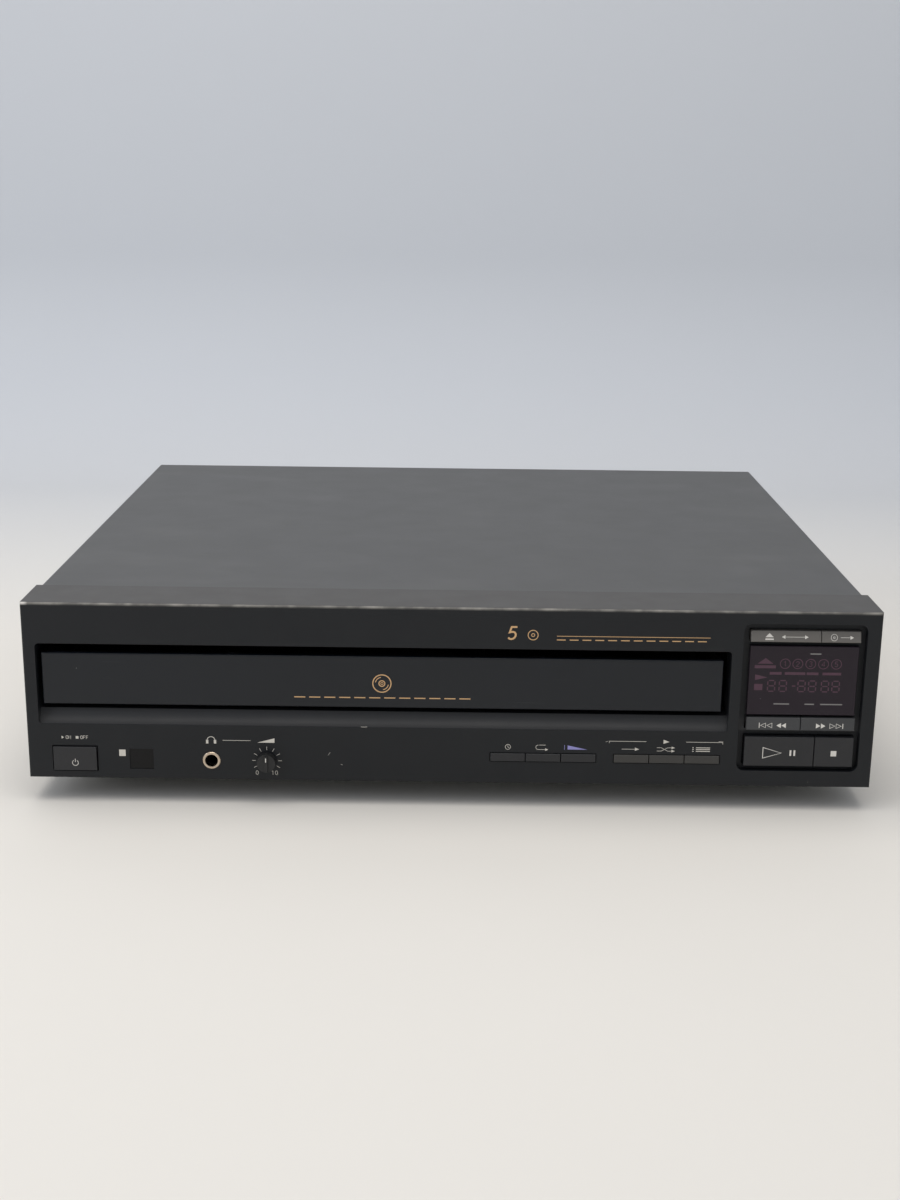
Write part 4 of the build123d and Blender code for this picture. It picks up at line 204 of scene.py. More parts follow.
panel_abs, tree, shader, place, tone = surface(
    "charcoal_moulded_abs", ("#0f1216", "#13161a"),
    cloud=70, roughness=(0.48, 0.55), grain=0.8, relief=0.014, edge=0.35,
)
shader.inputs["Specular IOR Level"].default_value = 0.36
along = add_node(tree, "SeparateXYZ", {"Vector": place})
near_top = add_node(
    tree,
    "MapRange",
    {
        "Value": along.outputs["Z"],
        "From Min": panel_high.z - HIGHLIGHT_BELOW_TOP[0] * MM,
        "From Max": panel_high.z - HIGHLIGHT_BELOW_TOP[1] * MM,
    },
).outputs["Result"]
near_front = add_node(
    tree,
    "MapRange",
    {
        "Value": along.outputs["Y"],
        "From Min": FACE + HIGHLIGHT_BEHIND_FACE[0] * MM,
        "From Max": FACE + HIGHLIGHT_BEHIND_FACE[1] * MM,
    },
).outputs["Result"]
top_edge = add_node(tree, "Math", {0: near_top, 1: near_front}, operation="MULTIPLY").outputs["Value"]
patchy = add_node(tree, "TexNoise", {"Vector": place, "Scale": 1 / (9 * MM), "Detail": 5.0})
patches = add_node(
    tree,
    "MapRange",
    {"Value": patchy.outputs["Fac"], "From Min": 0.42, "From Max": 0.68, "To Min": 0.4, "To Max": 1.0},
).outputs["Result"]
edge_highlight = add_node(tree, "Math", {0: top_edge, 1: patches}, operation="MULTIPLY").outputs["Value"]
# painted highlight along the top front edge, broken into patches
tone = overlay(tree, shader, tone, edge_highlight, "#8a8781")
# the painted highlight on the top edge is paler still at the top left corner
left_end = add_node(
    tree,
    "MapRange",
    {
        "Value": along.outputs["X"],
        "From Min": panel_low.x + PALER_FROM_LEFT[0] * MM,
        "From Max": panel_low.x + PALER_FROM_LEFT[1] * MM,
    },
).outputs["Result"]
corner = add_node(tree, "Math", {0: left_end, 1: top_edge}, operation="MULTIPLY").outputs["Value"]
tone = overlay(tree, shader, tone, corner, "#c9c6c0")
# the upward face of the flange that runs back under the cover is painted a lighter brown grey, a painted
# highlight where it faces the light from above
flange = add_node(
    tree,
    "MapRange",
    {
        "Value": along.outputs["Z"],
        "From Min": panel_high.z - FLANGE_BELOW_TOP[0] * MM,
        "From Max": panel_high.z - FLANGE_BELOW_TOP[1] * MM,
    },
).outputs["Result"]
behind_edge = add_node(
    tree,
    "MapRange",
    {
        "Value": along.outputs["Y"],
        "From Min": FACE + FLANGE_BEHIND_FACE[0] * MM,
        "From Max": FACE + FLANGE_BEHIND_FACE[1] * MM,
    },
).outputs["Result"]
lit_flange = add_node(tree, "Math", {0: flange, 1: behind_edge}, operation="MULTIPLY").outputs["Value"]
tone = overlay(tree, shader, tone, lit_flange, "#4d4c4b")
# the scooped ledge under the drawer faces up and is painted a paler grey, a painted highlight from the light
# above
ledge = add_node(
    tree,
    "MapRange",
    {
        "Value": along.outputs["Z"],
        "From Min": EDGE + LEDGE_HEAD[0] * MM,
        "From Max": EDGE + LEDGE_HEAD[1] * MM,
    },
).outputs["Result"]
scoop_foot = add_node(
    tree,
    "MapRange",
    {
        "Value": along.outputs["Z"],
        "From Min": EDGE + LEDGE_FOOT[0] * MM,
        "From Max": EDGE + LEDGE_FOOT[1] * MM,
    },
).outputs["Result"]
behind_face = add_node(
    tree,
    "MapRange",
    {
        "Value": along.outputs["Y"],
        "From Min": FACE + LEDGE_BEHIND_FACE[0] * MM,
        "From Max": FACE + LEDGE_BEHIND_FACE[1] * MM,
    },
).outputs["Result"]
lit_ledge = add_node(tree, "Math", {0: ledge, 1: scoop_foot}, operation="MULTIPLY").outputs["Value"]
lit_ledge = add_node(tree, "Math", {0: lit_ledge, 1: behind_face}, operation="MULTIPLY").outputs["Value"]
tone = overlay(tree, shader, tone, lit_ledge, "#2e2f31")
overlay(tree, shader, tone, specks(tree, place, 13, 0.5, 0.12), "#6f6d69")
dress(panel_abs, "front_panel")


# ---- Drawer front ----
# A long moulded fascia, smoother and a little bluer than the panel, that slides out with the
# tray behind it. Its finish is semi gloss, so it picks up the pale floor in its lower half.
fascia_abs, tree, shader, place, tone = surface(
    "bluish_semi_gloss_abs", ("#0c1117", "#11161d"),
    cloud=110, roughness=(0.29, 0.32), grain=0.9, relief=0.002, edge=0.35,
)
shader.inputs["Specular IOR Level"].default_value = 0.38
tone = overlay(tree, shader, tone, hairlines(tree, place, 40, 0.3, 0.1, 0.22), "#33353a")
overlay(tree, shader, tone, specks(tree, place, 9, 0.5, 0.14), "#767675")
dress(fascia_abs, "drawer_front")


# ---- Keys and power button ----
# Moulded caps in four shades: two light ones for the drawer, grey for the tracks, and near
# black for the rest. Their finish is a fine spark texture with edges polished by fingers.
key_shades = {
    "warm_grey_abs": (("#625f5b", "#6a6763"), ("open_close_key", "disc_skip_key")),
    "cool_grey_abs": (("#37383a", "#404143"), ("track_back_key", "track_forward_key")),
    "dark_grey_abs": (
        ("#191a1d", "#1f2024"),
        ("play_pause_key", "stop_key", "time_key", "repeat_key", "fade_key", "power_button"),
    ),
    "brown_grey_abs": (("#32312f", "#393836"), ("continue_key", "shuffle_key", "program_key")),
}
for shade, (tones, keys) in key_shades.items():
    key_abs = surface(
        shade, tones,
        cloud=25, roughness=(0.36, 0.48), grain=0.7, relief=0.008, edge=0.3,
    )[0]
    dress(key_abs, *keys)


# ---- Display window and sensor window ----
# Smoked acrylic plates, dark purple over the display and black over the sensor. They are
# polished, so they show a soft reflection and little of the tube behind.
smoked_acrylic, tree, shader, place, tone = surface(
    "smoked_acrylic", ("#19101a", "#1f1521"),
    cloud=60, roughness=(0.1, 0.16), grain=6.0, relief=0.002, edge=0.2, ior=1.49,
)
shader.inputs["Specular IOR Level"].default_value = 0.32
overlay(tree, shader, tone, specks(tree, place, 6, 0.35, 0.1), "#5e5a60")
dress(smoked_acrylic, "display_window")
black_acrylic, _, shader, _, _ = surface(
    "black_acrylic", ("#060608", "#0a0a0c"),
    cloud=20, roughness=(0.12, 0.2), grain=5.0, relief=0.002, edge=0.2, ior=1.49,
)
shader.inputs["Specular IOR Level"].default_value = 0.25
dress(black_acrylic, "sensor_window")


# ---- Display tube ----
# A flat vacuum glass envelope, soldered to its board behind the window. The coated anode
# plate makes it grey violet, and the glass over it gives a clear, sharp reflection.
tube_glass, _, shader, _, _ = surface(
    "coated_tube_glass", ("#3a3440", "#46404a"),
    cloud=12, roughness=(0.05, 0.1), grain=8.0, relief=0.002, ior=1.52,
)
shader.inputs["Coat Weight"].default_value = 0.6
dress(tube_glass, "display_tube")


# ---- Headphone socket and level knob ----
# A nickel plated ring on a black nylon socket, screwed up behind the panel, and a small moulded
# knob with a grip bar, pushed onto its shaft. The nickel has dulled to a warm tone.
nickel = surface(
    "aged_nickel_plate", ("#d9cdbf", "#b39f86"),
    cloud=3, roughness=(0.18, 0.32), grain=1.2, relief=0.004, edge=0.15, metallic=1.0,
)[0]
dress(nickel, "jack_ring")
# Moulded nylon is a dull black with a broad, weak sheen.
nylon = surface(
    "black_nylon", ("#131314", "#1a1a1b"),
    cloud=15, roughness=(0.45, 0.6), grain=0.8, relief=0.01,
)[0]
dress(nylon, "headphone_jack", "cord_gland", "power_switch", "tact_switches")
# The knob's matt moulding is greyer where fingers have touched its edges.
knob_abs = surface(
    "matt_black_abs", ("#161718", "#1d1e1f"),
    cloud=6, roughness=(0.4, 0.55), grain=0.6, relief=0.008, edge=0.2,
)[0]
dress(knob_abs, "level_knob")


# ---- Feet ----
# Moulded polystyrene cups, screwed to the chassis at its four corners. The plastic is black
# and half glossy, so that its rim picks up the floor it stands on.
foot_plastic = surface(
    "black_polystyrene", ("#0f0f10", "#18181a"),
    cloud=20, roughness=(0.34, 0.48), grain=1.0, relief=0.01, edge=0.5,
)[0]
dress(foot_plastic, "feet")


# ---- Chassis, mechanism plate and clamp bridge ----
# Pressed and folded steel sheet, electro zinc plated and held together by screws. The plating
# is a soft, cloudy silver grey with a grain drawn out by the rolling.
zinc, tree, shader, place, tone = surface(
    "electro_zinc_plate", ("#8f918f", "#a7a8a5"),
    cloud=14, roughness=(0.34, 0.46), grain=1.5, relief=0.006, metallic=0.9,
)
rolled = hairlines(tree, place, 30, 0.6, 0.0, 0.38)
overlay(tree, shader, tone, rolled, "#7d7f7e")
dress(zinc, "bottom_chassis", "mech_chassis", "clamp_bridge")


# ---- Drawer tray, rails and carousel ----
# Large black mouldings. The tray and rails are a coarse dark grey, and the carousel is finer,
# with pockets rubbed slightly shiny where discs slide in and out.
tray_abs = surface(
    "dark_grey_abs_tray", ("#2c2d2f", "#343537"),
    cloud=50, roughness=(0.42, 0.54), grain=0.9, relief=0.012, edge=0.3,
)[0]
dress(tray_abs, "drawer_tray", "drawer_rails", "pickup_frame")
carousel_abs, tree, shader, place, tone = surface(
    "black_carousel_abs", ("#1a1b1d", "#212224"),
    cloud=60, roughness=(0.32, 0.46), grain=0.8, relief=0.01, edge=0.3,
)
overlay(tree, shader, tone, hairlines(tree, place, 25, 0.4, 0.8, 0.27), "#3a3b3d")
carousel_nodes = [name for name in nodes if name.startswith("carousel")]
dress(carousel_abs, *carousel_nodes)
dress(nylon, "turntable", "clamper", "pickup_sled")


# ---- Gears, pulleys and lift slider ----
# The small drive wheels and the slider that lifts the pickup, moulded and pushed onto their
# pins. Natural acetal is milky and slightly waxy: light sinks in a little at thin teeth.
acetal, _, shader, _, _ = surface(
    "natural_acetal", ("#d8d4c6", "#e4e1d6"),
    cloud=8, roughness=(0.32, 0.42), grain=1.0, relief=0.004, edge=0.15,
)
shader.inputs["Subsurface Weight"].default_value = 0.1
shader.inputs["Subsurface Scale"].default_value = 1.0 * MM
gears = ("table_gear", "loading_pulley_gear", "loading_pinion", "sled_gear")
pulleys = ("table_motor_pulley", "loading_motor_pulley")
dress(acetal, *gears, *pulleys, "lift_slider")


# ---- Motors, rods and level control ----
# Deep drawn motor cans, nickel plated and screwed to their plates, ground rods that the sled
# slides on, and a small steel level control. The cans are satin and the rods nearly mirror.
can_steel = surface(
    "nickel_plated_can", ("#a9a9a6", "#bcbbb7"),
    cloud=10, roughness=(0.22, 0.34), grain=1.2, relief=0.004, edge=0.2, metallic=1.0,
)[0]
dress(can_steel, "table_motor", "loading_motor", "spindle_motor", "sled_motor", "level_control")
rod_steel = surface(
    "ground_steel", ("#b8b9ba", "#c8c9c9"),
    cloud=6, roughness=(0.12, 0.2), grain=0.8, relief=0.002, metallic=1.0,
)[0]
dress(rod_steel, "guide_rods")


# ---- Belts ----
# Square section neoprene belts, moulded as rings and stretched over their pulleys. The rubber
# is dead matt, and dusted grey where it flexes.
neoprene = surface(
    "neoprene_rubber", ("#0f0f0f", "#232322"),
    cloud=9, roughness=(0.6, 0.75), grain=0.8, relief=0.012,
)[0]
dress(neoprene, "table_belt", "loading_belt")


# ---- Lens ----
# A moulded lens, glued into its black holder. Its anti reflection coating gives a glossy
# surface that drifts from blue to violet.
lens_glass = surface(
    "coated_lens", ("#28406e", "#4a3a80"),
    cloud=3, roughness=(0.03, 0.06), grain=3.0, relief=0.001,
)[0]
dress(lens_glass, "objective_lens")


# ---- Boards, transformer and line sockets ----
# Phenolic paper boards on posts, a varnished stack of transformer iron bolted to the chassis,
# and plated phono sockets. The boards are a fibrous brown, and the iron shows its layers.
phenolic, tree, shader, place, tone = surface(
    "phenolic_paper_board", ("#7d5f34", "#8c6d3f"),
    cloud=18, roughness=(0.36, 0.5), grain=0.8, relief=0.006,
)
overlay(tree, shader, tone, hairlines(tree, place, 8, 0.5, 0.0, 0.4), "#6b4f2a")
board_nodes = [name for name in nodes if name.endswith(("_board", "_boards"))]
dress(phenolic, *board_nodes)
laminations, tree, shader, place, tone = surface(
    "varnished_laminations", ("#3a3733", "#4a4640"),
    cloud=16, roughness=(0.3, 0.45), grain=0.9, relief=0.01, metallic=0.5,
)
stack = add_node(tree, "TexWave", {"Vector": place, "Scale": 1 / (3.2 * MM)}, bands_direction="Z")
overlay(tree, shader, tone, stack.outputs["Fac"], "#2b2926")
dress(laminations, "power_transformer")
# A thin flash of gold over turned brass, bright with slightly duller patches.
gold_plate = surface(
    "gold_flashed_brass", ("#b7944a", "#cdb06a"),
    cloud=4, roughness=(0.2, 0.32), grain=0.9, relief=0.003, edge=0.2, metallic=1.0,
)[0]
dress(gold_plate, "line_out_jacks")


# ---- Prints on the panel ----
# Screen printed marks in cream, gold and violet ink, a film 0.02 mm thick: plain pictograms,
# dashes and numbers over the sockets and keys that they belong to.
INK_PROUD = 0.03
INK_THICK = 0.02
LINE = 0.34
THIN_LINE = 0.22
SHARPEST_MITRE = 0.4


def stroke(path, width=LINE, closed=False):
    """A line of even width along a path in (x, z) millimetres.

    Each corner's sides stand half a width along the mitre: the sum of the unit normals of its
    two runs over one plus their cosine. Four points a ring, so the film is a closed solid.
    """
    path = np.asarray(path, float)
    run_out = np.roll(path, -1, 0) - path
    run_in = path - np.roll(path, 1, 0)
    if not closed:
        run_out[-1] = run_in[-1]
        run_in[0] = run_out[0]
    sides = []
    for run in (run_in, run_out):
        run = run / np.linalg.norm(run, axis=1, keepdims=True)
        sides.append(np.stack([-run[:, 1], run[:, 0]], 1))
    bend = np.clip(1 + (sides[0] * sides[1]).sum(1, keepdims=True), SHARPEST_MITRE, None)
    mitre = (sides[0] + sides[1]) / bend * width / 2
    count = len(path)
    rings = np.zeros((count, 4, 3))
    rings[:, (0, 3), :2] = (path + mitre)[:, None]
    rings[:, (1, 2), :2] = (path - mitre)[:, None]
    rings[:, 2:, 2] = 1
    steps = np.arange(count if closed else count - 1)[:, None]
    corner = np.arange(4)[None]
    following = (steps + 1) % count
    quads = np.stack(
        [
            steps * 4 + corner,
            steps * 4 + (corner + 1) % 4,
            following * 4 + (corner + 1) % 4,
            following * 4 + corner,
        ],
        -1,
    ).reshape(-1, 4)
    faces = quads.tolist()
    if not closed:
        last = (count - 1) * 4
        faces += [[0, 3, 2, 1], [last, last + 1, last + 2, last + 3]]
    return rings.reshape(-1, 3), faces


def patch(outline):
    """A filled shape inside an outline that runs anticlockwise, as a closed film."""
    outline = np.asarray(outline, float)
    count = len(outline)
    points = np.zeros((2 * count, 3))
    points[:, :2] = np.tile(outline, (2, 1))
    points[count:, 2] = 1
    ring = np.arange(count)
    following = (ring + 1) % count
    walls = np.stack([ring, ring + count, following + count, following], 1)
    return points, [ring.tolist(), (2 * count - 1 - ring).tolist(), *walls.tolist()]


def arc(x, z, radius, start=0.0, end=360.0, squash=1.0, steps=20):
    """Points on an arc, its height `squash` times its width; a full turn leaves out its last point."""
    angles = np.radians(np.linspace(start, end, steps, endpoint=abs(end - start) < 360))
    return np.stack([x + radius * np.cos(angles), z + radius * squash * np.sin(angles)], 1)


def bar(x0, x1, z0, z1):
    """A filled rectangle."""
    return patch([(x0, z0), (x1, z0), (x1, z1), (x0, z1)])


def arrowhead(tip_x, back_x, z, height):
    """A filled triangle that points from back_x to tip_x."""
    back = [(back_x, z + height / 2), (back_x, z - height / 2)]
    outline = [(tip_x, z), *back]
    return patch(outline if tip_x > back_x else outline[::-1])


# Strokes of the numbers and of ON and OFF, in a cell 0.6 wide and 1 high. Cells stand
# CELL_PITCH of their height apart.
CELL_PITCH = 0.86
GLYPHS = {
    "0": [(arc(0.3, 0.5, 0.28, squash=1.75), True)],
    "1": [([(0.12, 0.78), (0.34, 1.0), (0.34, 0.0)], False)],
    "2": [([*arc(0.3, 0.7, 0.28, 170, -25, steps=9), (0.02, 0.0), (0.6, 0.0)], False)],
    "3": [([*arc(0.28, 0.75, 0.25, 150, -80, steps=8), *arc(0.27, 0.27, 0.28, 80, -150, steps=9)], False)],
    "4": [([(0.45, 0.0), (0.45, 1.0), (0.0, 0.3), (0.62, 0.3)], False)],
    "5": [([(0.56, 1.0), (0.12, 1.0), (0.06, 0.56), *arc(0.28, 0.31, 0.3, 110, -145, steps=10)], False)],
    "O": [(arc(0.34, 0.5, 0.34, squash=1.47), True)],
    "N": [([(0.0, 0.0), (0.0, 1.0), (0.6, 0.0), (0.6, 1.0)], False)],
    "F": [([(0.0, 0.0), (0.0, 1.0), (0.56, 1.0)], False), ([(0.0, 0.53), (0.46, 0.53)], False)],
}


def figures(text, x, z, height, width=THIN_LINE, slant=0.0):
    """Numbers or ON and OFF, from their cells set side by side and leaned by the slant."""
    shapes = []
    for place_in_text, sign in enumerate(text):
        for path, closed in GLYPHS[sign]:
            path = np.asarray(path, float) * height
            path = path + [x + place_in_text * CELL_PITCH * height, z]
            path[:, 0] += (path[:, 1] - z) * slant
            shapes.append(stroke(path, width, closed))
    return shapes


def ink(name, tones, gloss=0.45):
    """Screen printing ink: a flat colour whose cover is slightly uneven, thin to full."""
    return surface(
        name, tones,
        cloud=4, roughness=(gloss - 0.05, gloss + 0.05), grain=0.9, relief=0.002,
    )[0]


def lay(name, shapes, material, body, origin, right=(1, 0, 0), up=(0, 0, 1)):
    """Lays a print on a plane: origin in metres, its x and z in millimetres along right and up."""
    right, up = np.array(right, float), np.array(up, float)
    out = np.cross(right, up)
    out /= np.linalg.norm(out)
    points, faces, start = [], [], 0
    for film, film_faces in shapes:
        height = INK_PROUD - INK_THICK * film[:, 2:]
        points.append(np.array(origin) + MM * (film[:, :1] * right + film[:, 1:2] * up + height * out))
        faces += [(np.array(face) + start).tolist() for face in film_faces]
        start += len(film)
    mesh = bpy.data.meshes.new(name)
    mesh.from_pydata(np.concatenate(points).tolist(), [], faces)
    mesh.materials.append(material)
    piece = bpy.data.objects.new(name, mesh)
    bpy.context.scene.collection.objects.link(piece)
    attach(piece, body)


CREAM = ink("cream_ink", ("#c9c5bc", "#d5d1c8"))
GOLD = ink("gold_ink", ("#c9a173", "#d6ae7d"))
VIOLET = ink("violet_ink", ("#8986bf", "#9592cd"))
panel_face = (0, FACE, EDGE)

# power marks, sensor mark, headphones and level dial
KNOB_X, KNOB_Z = -93.2, 10.7
DIAL_INNER, DIAL_OUTER = 5.7, 7.6
DIAL_STEP = 30
DASHES = 12
cream_marks = [
    arrowhead(-196.4, -197.6, 22.0, 1.6),
    *figures("ON", -195.4, 21.2, 1.7),
    bar(-190.4, -189.0, 21.3, 22.7),
    *figures("OFF", -188.0, 21.2, 1.7),
    bar(-168.6, -165.3, 12.2, 15.7),
    stroke(arc(-121.5, 21.3, 2.0, 0, 180, steps=12)),
    bar(-124.1, -122.9, 19.6, 21.6),
    bar(-120.1, -118.9, 19.6, 21.6),
    stroke([(-115.6, 21.4), (-101.4, 21.4)], THIN_LINE),
    patch([(-98.0, 20.4), (-89.2, 20.4), (-89.2, 22.8)]),
    *figures("0", -99.0, 3.0, 2.2),
    *figures("10", -91.0, 3.0, 2.2),
]
for step in range(-4, 5):
    angle = radians(90 - DIAL_STEP * step)
    ends = [(KNOB_X + r * cos(angle), KNOB_Z + r * sin(angle)) for r in (DIAL_INNER, DIAL_OUTER)]
    cream_marks.append(stroke(ends, THIN_LINE))

# a clock and a loop over the left keys; an arrow, crossed arrows and a list over the right ones
cream_marks += [
    stroke(arc(29.6, 19.8, 1.35, steps=16), THIN_LINE, True),
    stroke([(29.6, 20.7), (29.6, 19.7), (30.4, 19.3)], THIN_LINE),
    stroke([*arc(45.0, 19.8, 1.2, 90, 270, steps=8), (48.6, 18.6)], THIN_LINE),
    stroke([(45.4, 21.0), (48.8, 21.0)], THIN_LINE),
    arrowhead(50.2, 48.6, 18.6, 1.4),
    stroke([(87.5, 19.4), (94.5, 19.4)], THIN_LINE),
    arrowhead(96.4, 94.2, 19.4, 1.8),
    stroke([(105.4, 18.6), (107.6, 18.6), (110.8, 20.4), (113.0, 20.4)], THIN_LINE),
    stroke([(105.4, 20.4), (107.6, 20.4), (110.8, 18.6), (113.0, 18.6)], THIN_LINE),
    arrowhead(114.6, 112.8, 20.4, 1.4),
    arrowhead(114.6, 112.8, 18.6, 1.4),
]
for row in range(3):
    height = 18.5 + 0.95 * row
    cream_marks.append(bar(123.4, 124.1, height, height + 0.4))
    cream_marks.append(bar(125.2, 132.4, height, height + 0.4))
cream_marks += [
    stroke([(81.1, 22.6), (81.1, 23.6), (99.9, 23.6)], THIN_LINE),
    stroke([(120.1, 23.6), (138.7, 23.6), (138.7, 22.6)], THIN_LINE),
    arrowhead(111.6, 108.6, 23.6, 2.2),
]
lay("cream_marks", cream_marks, CREAM, "chassis", panel_face)

# the left trio's third mark is a fading wedge in violet
violet_marks = [
    patch([(60.0, 18.8), (70.0, 18.8), (60.0, 21.0)]),
    stroke([(58.4, 18.6), (58.4, 21.2)], THIN_LINE),
]
lay("violet_marks", violet_marks, VIOLET, "chassis", panel_face)

# five discs: the number, a disc, and two fine gold lines
gold_marks = [
    *figures("5", 28.2, 77.0, 6.4, 0.95, 0.2),
    stroke(arc(41.0, 79.3, 2.5, steps=28), 0.42, True),
    stroke(arc(41.0, 79.3, 0.8, steps=16), 0.36, True),
    stroke([(52.9, 78.9), (129.5, 78.9)], 0.3),
]
gold_marks += [bar(52.9 + 6.4 * n, 57.3 + 6.4 * n, 76.7, 77.2) for n in range(DASHES)]
lay("gold_marks", gold_marks, GOLD, "chassis", panel_face)


# ---- Prints on the drawer front ----
# A disc in gold at the middle and a fine broken line under it, screen printed on the moulding.
fascia_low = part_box("drawer_front")[0]
DISC_MARK = (-34.6, 52.2)
fascia_marks = [
    stroke(arc(*DISC_MARK, 4.6, steps=36), 0.55, True),
    stroke(arc(*DISC_MARK, 3.3, 100, 170, steps=8), 0.4),
    stroke(arc(*DISC_MARK, 3.3, -80, -10, steps=8), 0.4),
    stroke(arc(*DISC_MARK, 1.5, steps=20), 0.5, True),
    stroke(arc(*DISC_MARK, 0.6, steps=12), 0.3, True),
]
fascia_marks += [bar(-79 + 7.6 * n, -73.4 + 7.6 * n, 44.3, 44.85) for n in range(DASHES)]
lay("drawer_marks", fascia_marks, GOLD, "drawer", (0, fascia_low.y, EDGE))


# ---- Prints on the keys ----
# Pale symbols printed on each moulded cap: drawer, skip, tracks, play, pause and stop. The ink
# lies on the cap's leaning face and moves with its key.
KEY_INK = ink("pale_key_ink", ("#d4d1ca", "#dedbd4"))

# Each row of caps: its faces' low and high edge, how far behind the panel's face the low edge
# is, and how far the high edge leans back.
DRAWER_ROW = (77.0, 82.6, 0.4, 1.6)
TRACK_ROW = (30.4, 37.0, 0.4, 0.5)
PLAY_ROW = (11.0, 26.7, 0.4, 0.3)


def mark_key(node, shapes, row):
    """Prints on a key's cap, on a plane through its face, which leans back evenly."""
    low, high, set_back, lean = row
    slope = lean / (high - low)
    origin = (0, FACE + (set_back - slope * low) * MM, EDGE)
    lay(node + "_mark", shapes, KEY_INK, node, origin, up=(0, slope, 1))


eject = [
    patch([(157.0, 79.4), (161.2, 79.4), (159.1, 81.4)]),
    bar(157.0, 161.2, 78.1, 78.8),
    arrowhead(165.2, 167.0, 79.6, 1.9),
    stroke([(166.6, 79.6), (176.8, 79.6)], THIN_LINE),
    arrowhead(178.6, 176.8, 79.6, 1.9),
]
mark_key("open_close_key", eject, DRAWER_ROW)
skip = [
    stroke(arc(191.4, 79.6, 1.6, steps=20), THIN_LINE, True),
    stroke(arc(191.4, 79.6, 0.45, steps=10), THIN_LINE, True),
    stroke([(194.6, 79.6), (199.6, 79.6)], THIN_LINE),
    arrowhead(201.2, 199.4, 79.6, 1.9),
]
mark_key("disc_skip_key", skip, DRAWER_ROW)


def outlined_arrow(tip_x, back_x, z, height):
    """An open triangle drawn as a line."""
    return stroke([(tip_x, z), (back_x, z + height / 2), (back_x, z - height / 2)], THIN_LINE, True)


track_back = [
    bar(156.5, 156.9, 31.6, 34.3),
    outlined_arrow(157.3, 159.9, 32.95, 2.4),
    outlined_arrow(160.5, 163.1, 32.95, 2.4),
    arrowhead(165.4, 167.7, 32.95, 2.6),
    arrowhead(167.9, 170.2, 32.95, 2.6),
]
mark_key("track_back_key", track_back, TRACK_ROW)
track_forward = [
    arrowhead(187.7, 185.4, 32.95, 2.6),
    arrowhead(190.2, 187.9, 32.95, 2.6),
    outlined_arrow(195.0, 192.4, 32.95, 2.4),
    outlined_arrow(198.2, 195.6, 32.95, 2.4),
    bar(198.8, 199.2, 31.6, 34.3),
]
mark_key("track_forward_key", track_forward, TRACK_ROW)
play = [
    stroke([(159.4, 21.0), (159.4, 15.3), (168.8, 18.15)], 0.36, True),
    bar(173.0, 173.9, 16.7, 19.7),
    bar(175.0, 175.9, 16.7, 19.7),
]
mark_key("play_pause_key", play, PLAY_ROW)
mark_key("stop_key", [bar(193.9, 196.8, 16.7, 19.6)], PLAY_ROW)
power_marks = [
    stroke(arc(-191.0, 8.6, 1.5, 125, 415, steps=18), 0.3),
    stroke([(-191.0, 9.0), (-191.0, 10.8)], 0.3),
]
power_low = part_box("power_button")[0]
lay("power_button_mark", power_marks, KEY_INK, "power_button", (0, power_low.y, EDGE))

knob_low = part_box("level_knob")[0]
pointer = [stroke([(KNOB_X, KNOB_Z + 1.2), (KNOB_X, KNOB_Z + 3.4)], 0.5)]
lay("knob_pointer", pointer, KEY_INK, "level_knob", (0, knob_low.y, EDGE))


# ---- Unlit display ----
# The tube's unlit segments show through the smoked window as dim, dusky red figures. They
# are drawn as a film on the window, five disc numbers over three pairs of digits.
GHOST = ink("unlit_segments", ("#43283a", "#4e2e3f"), 0.16)
DIM = ink("unlit_labels", ("#7a7877", "#858382"), 0.3)


def seven_segments(x, z, width, height, line):
    """One digit of seven bars, each a short stroke with a gap at its ends."""
    gap, middle = line * 0.8, z + height / 2
    bars = [[(x + gap, level), (x + width - gap, level)] for level in (z, middle, z + height)]
    for side in (x, x + width):
        bars.append([(side, z + gap), (side, middle - gap)])
        bars.append([(side, middle + gap), (side, z + height - gap)])
    return [stroke(path, line) for path in bars]


ghosts = []
for number, centre in enumerate((167.9, 174.2, 180.7, 187.1, 193.6), 1):
    ghosts.append(stroke(arc(centre, 65.5, 2.5, steps=24), 0.4, True))
    ghosts += figures(str(number), centre - 0.8, 64.2, 2.6, 0.35)
for start, end in ((160.4, 166.4), (168.0, 178.3), (179.0, 184.9), (186.9, 196.3)):
    ghosts.append(bar(start, end, 59.7, 61.1))
for left in (159.8, 165.6, 175.0, 180.4, 186.8, 192.2):
    ghosts += seven_segments(left, 50.9, 3.6, 5.7, 0.6)
ghosts += [
    bar(172.0, 173.8, 53.5, 54.1),
    patch([(153.2, 56.7), (159.4, 58.2), (153.2, 59.7)]),
    bar(153.0, 157.2, 51.4, 54.7),
    bar(152.7, 163.3, 63.0, 64.6),
    patch([(154.0, 65.4), (162.0, 65.4), (158.0, 68.4)]),
]
window_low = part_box("display_window")[0]
window_face = (0, window_low.y, EDGE)
lay("unlit_segments", ghosts, GHOST, "chassis", window_face)
labels = [bar(start, end, 43.9, 44.5) for start, end in ((163.4, 171.2), (179.0, 183.8), (186.9, 198.0))]
labels.append(bar(180.2, 185.6, 70.5, 71.1))
lay("window_labels", labels, DIM, "chassis", window_face)


# ---- Numbers on the carousel ----
# Each disc place has its number, printed beside its pocket near the hub so that it can be
# read between the discs when the drawer is open.
rim_low, rim_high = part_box("carousel")
deck_top = max(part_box(name)[1].z for name in carousel_nodes if name != "carousel_cap")
hub_x, hub_y = (rim_low.x + rim_high.x) / 2, (rim_low.y + rim_high.y) / 2
NUMBER_RADIUS = 44.0
for number in range(5):
    angle = pi / 2 + 2 * pi / 5 * (number + 0.5)
    outward = (cos(angle), sin(angle), 0)
    sideways = (sin(angle), -cos(angle), 0)
    figure = figures(str(number + 1), -2.2, NUMBER_RADIUS, 7.0, 1.0)
    lay(f"place_number_{number + 1}", figure, CREAM, "carousel", (hub_x, hub_y, deck_top), sideways, outward)


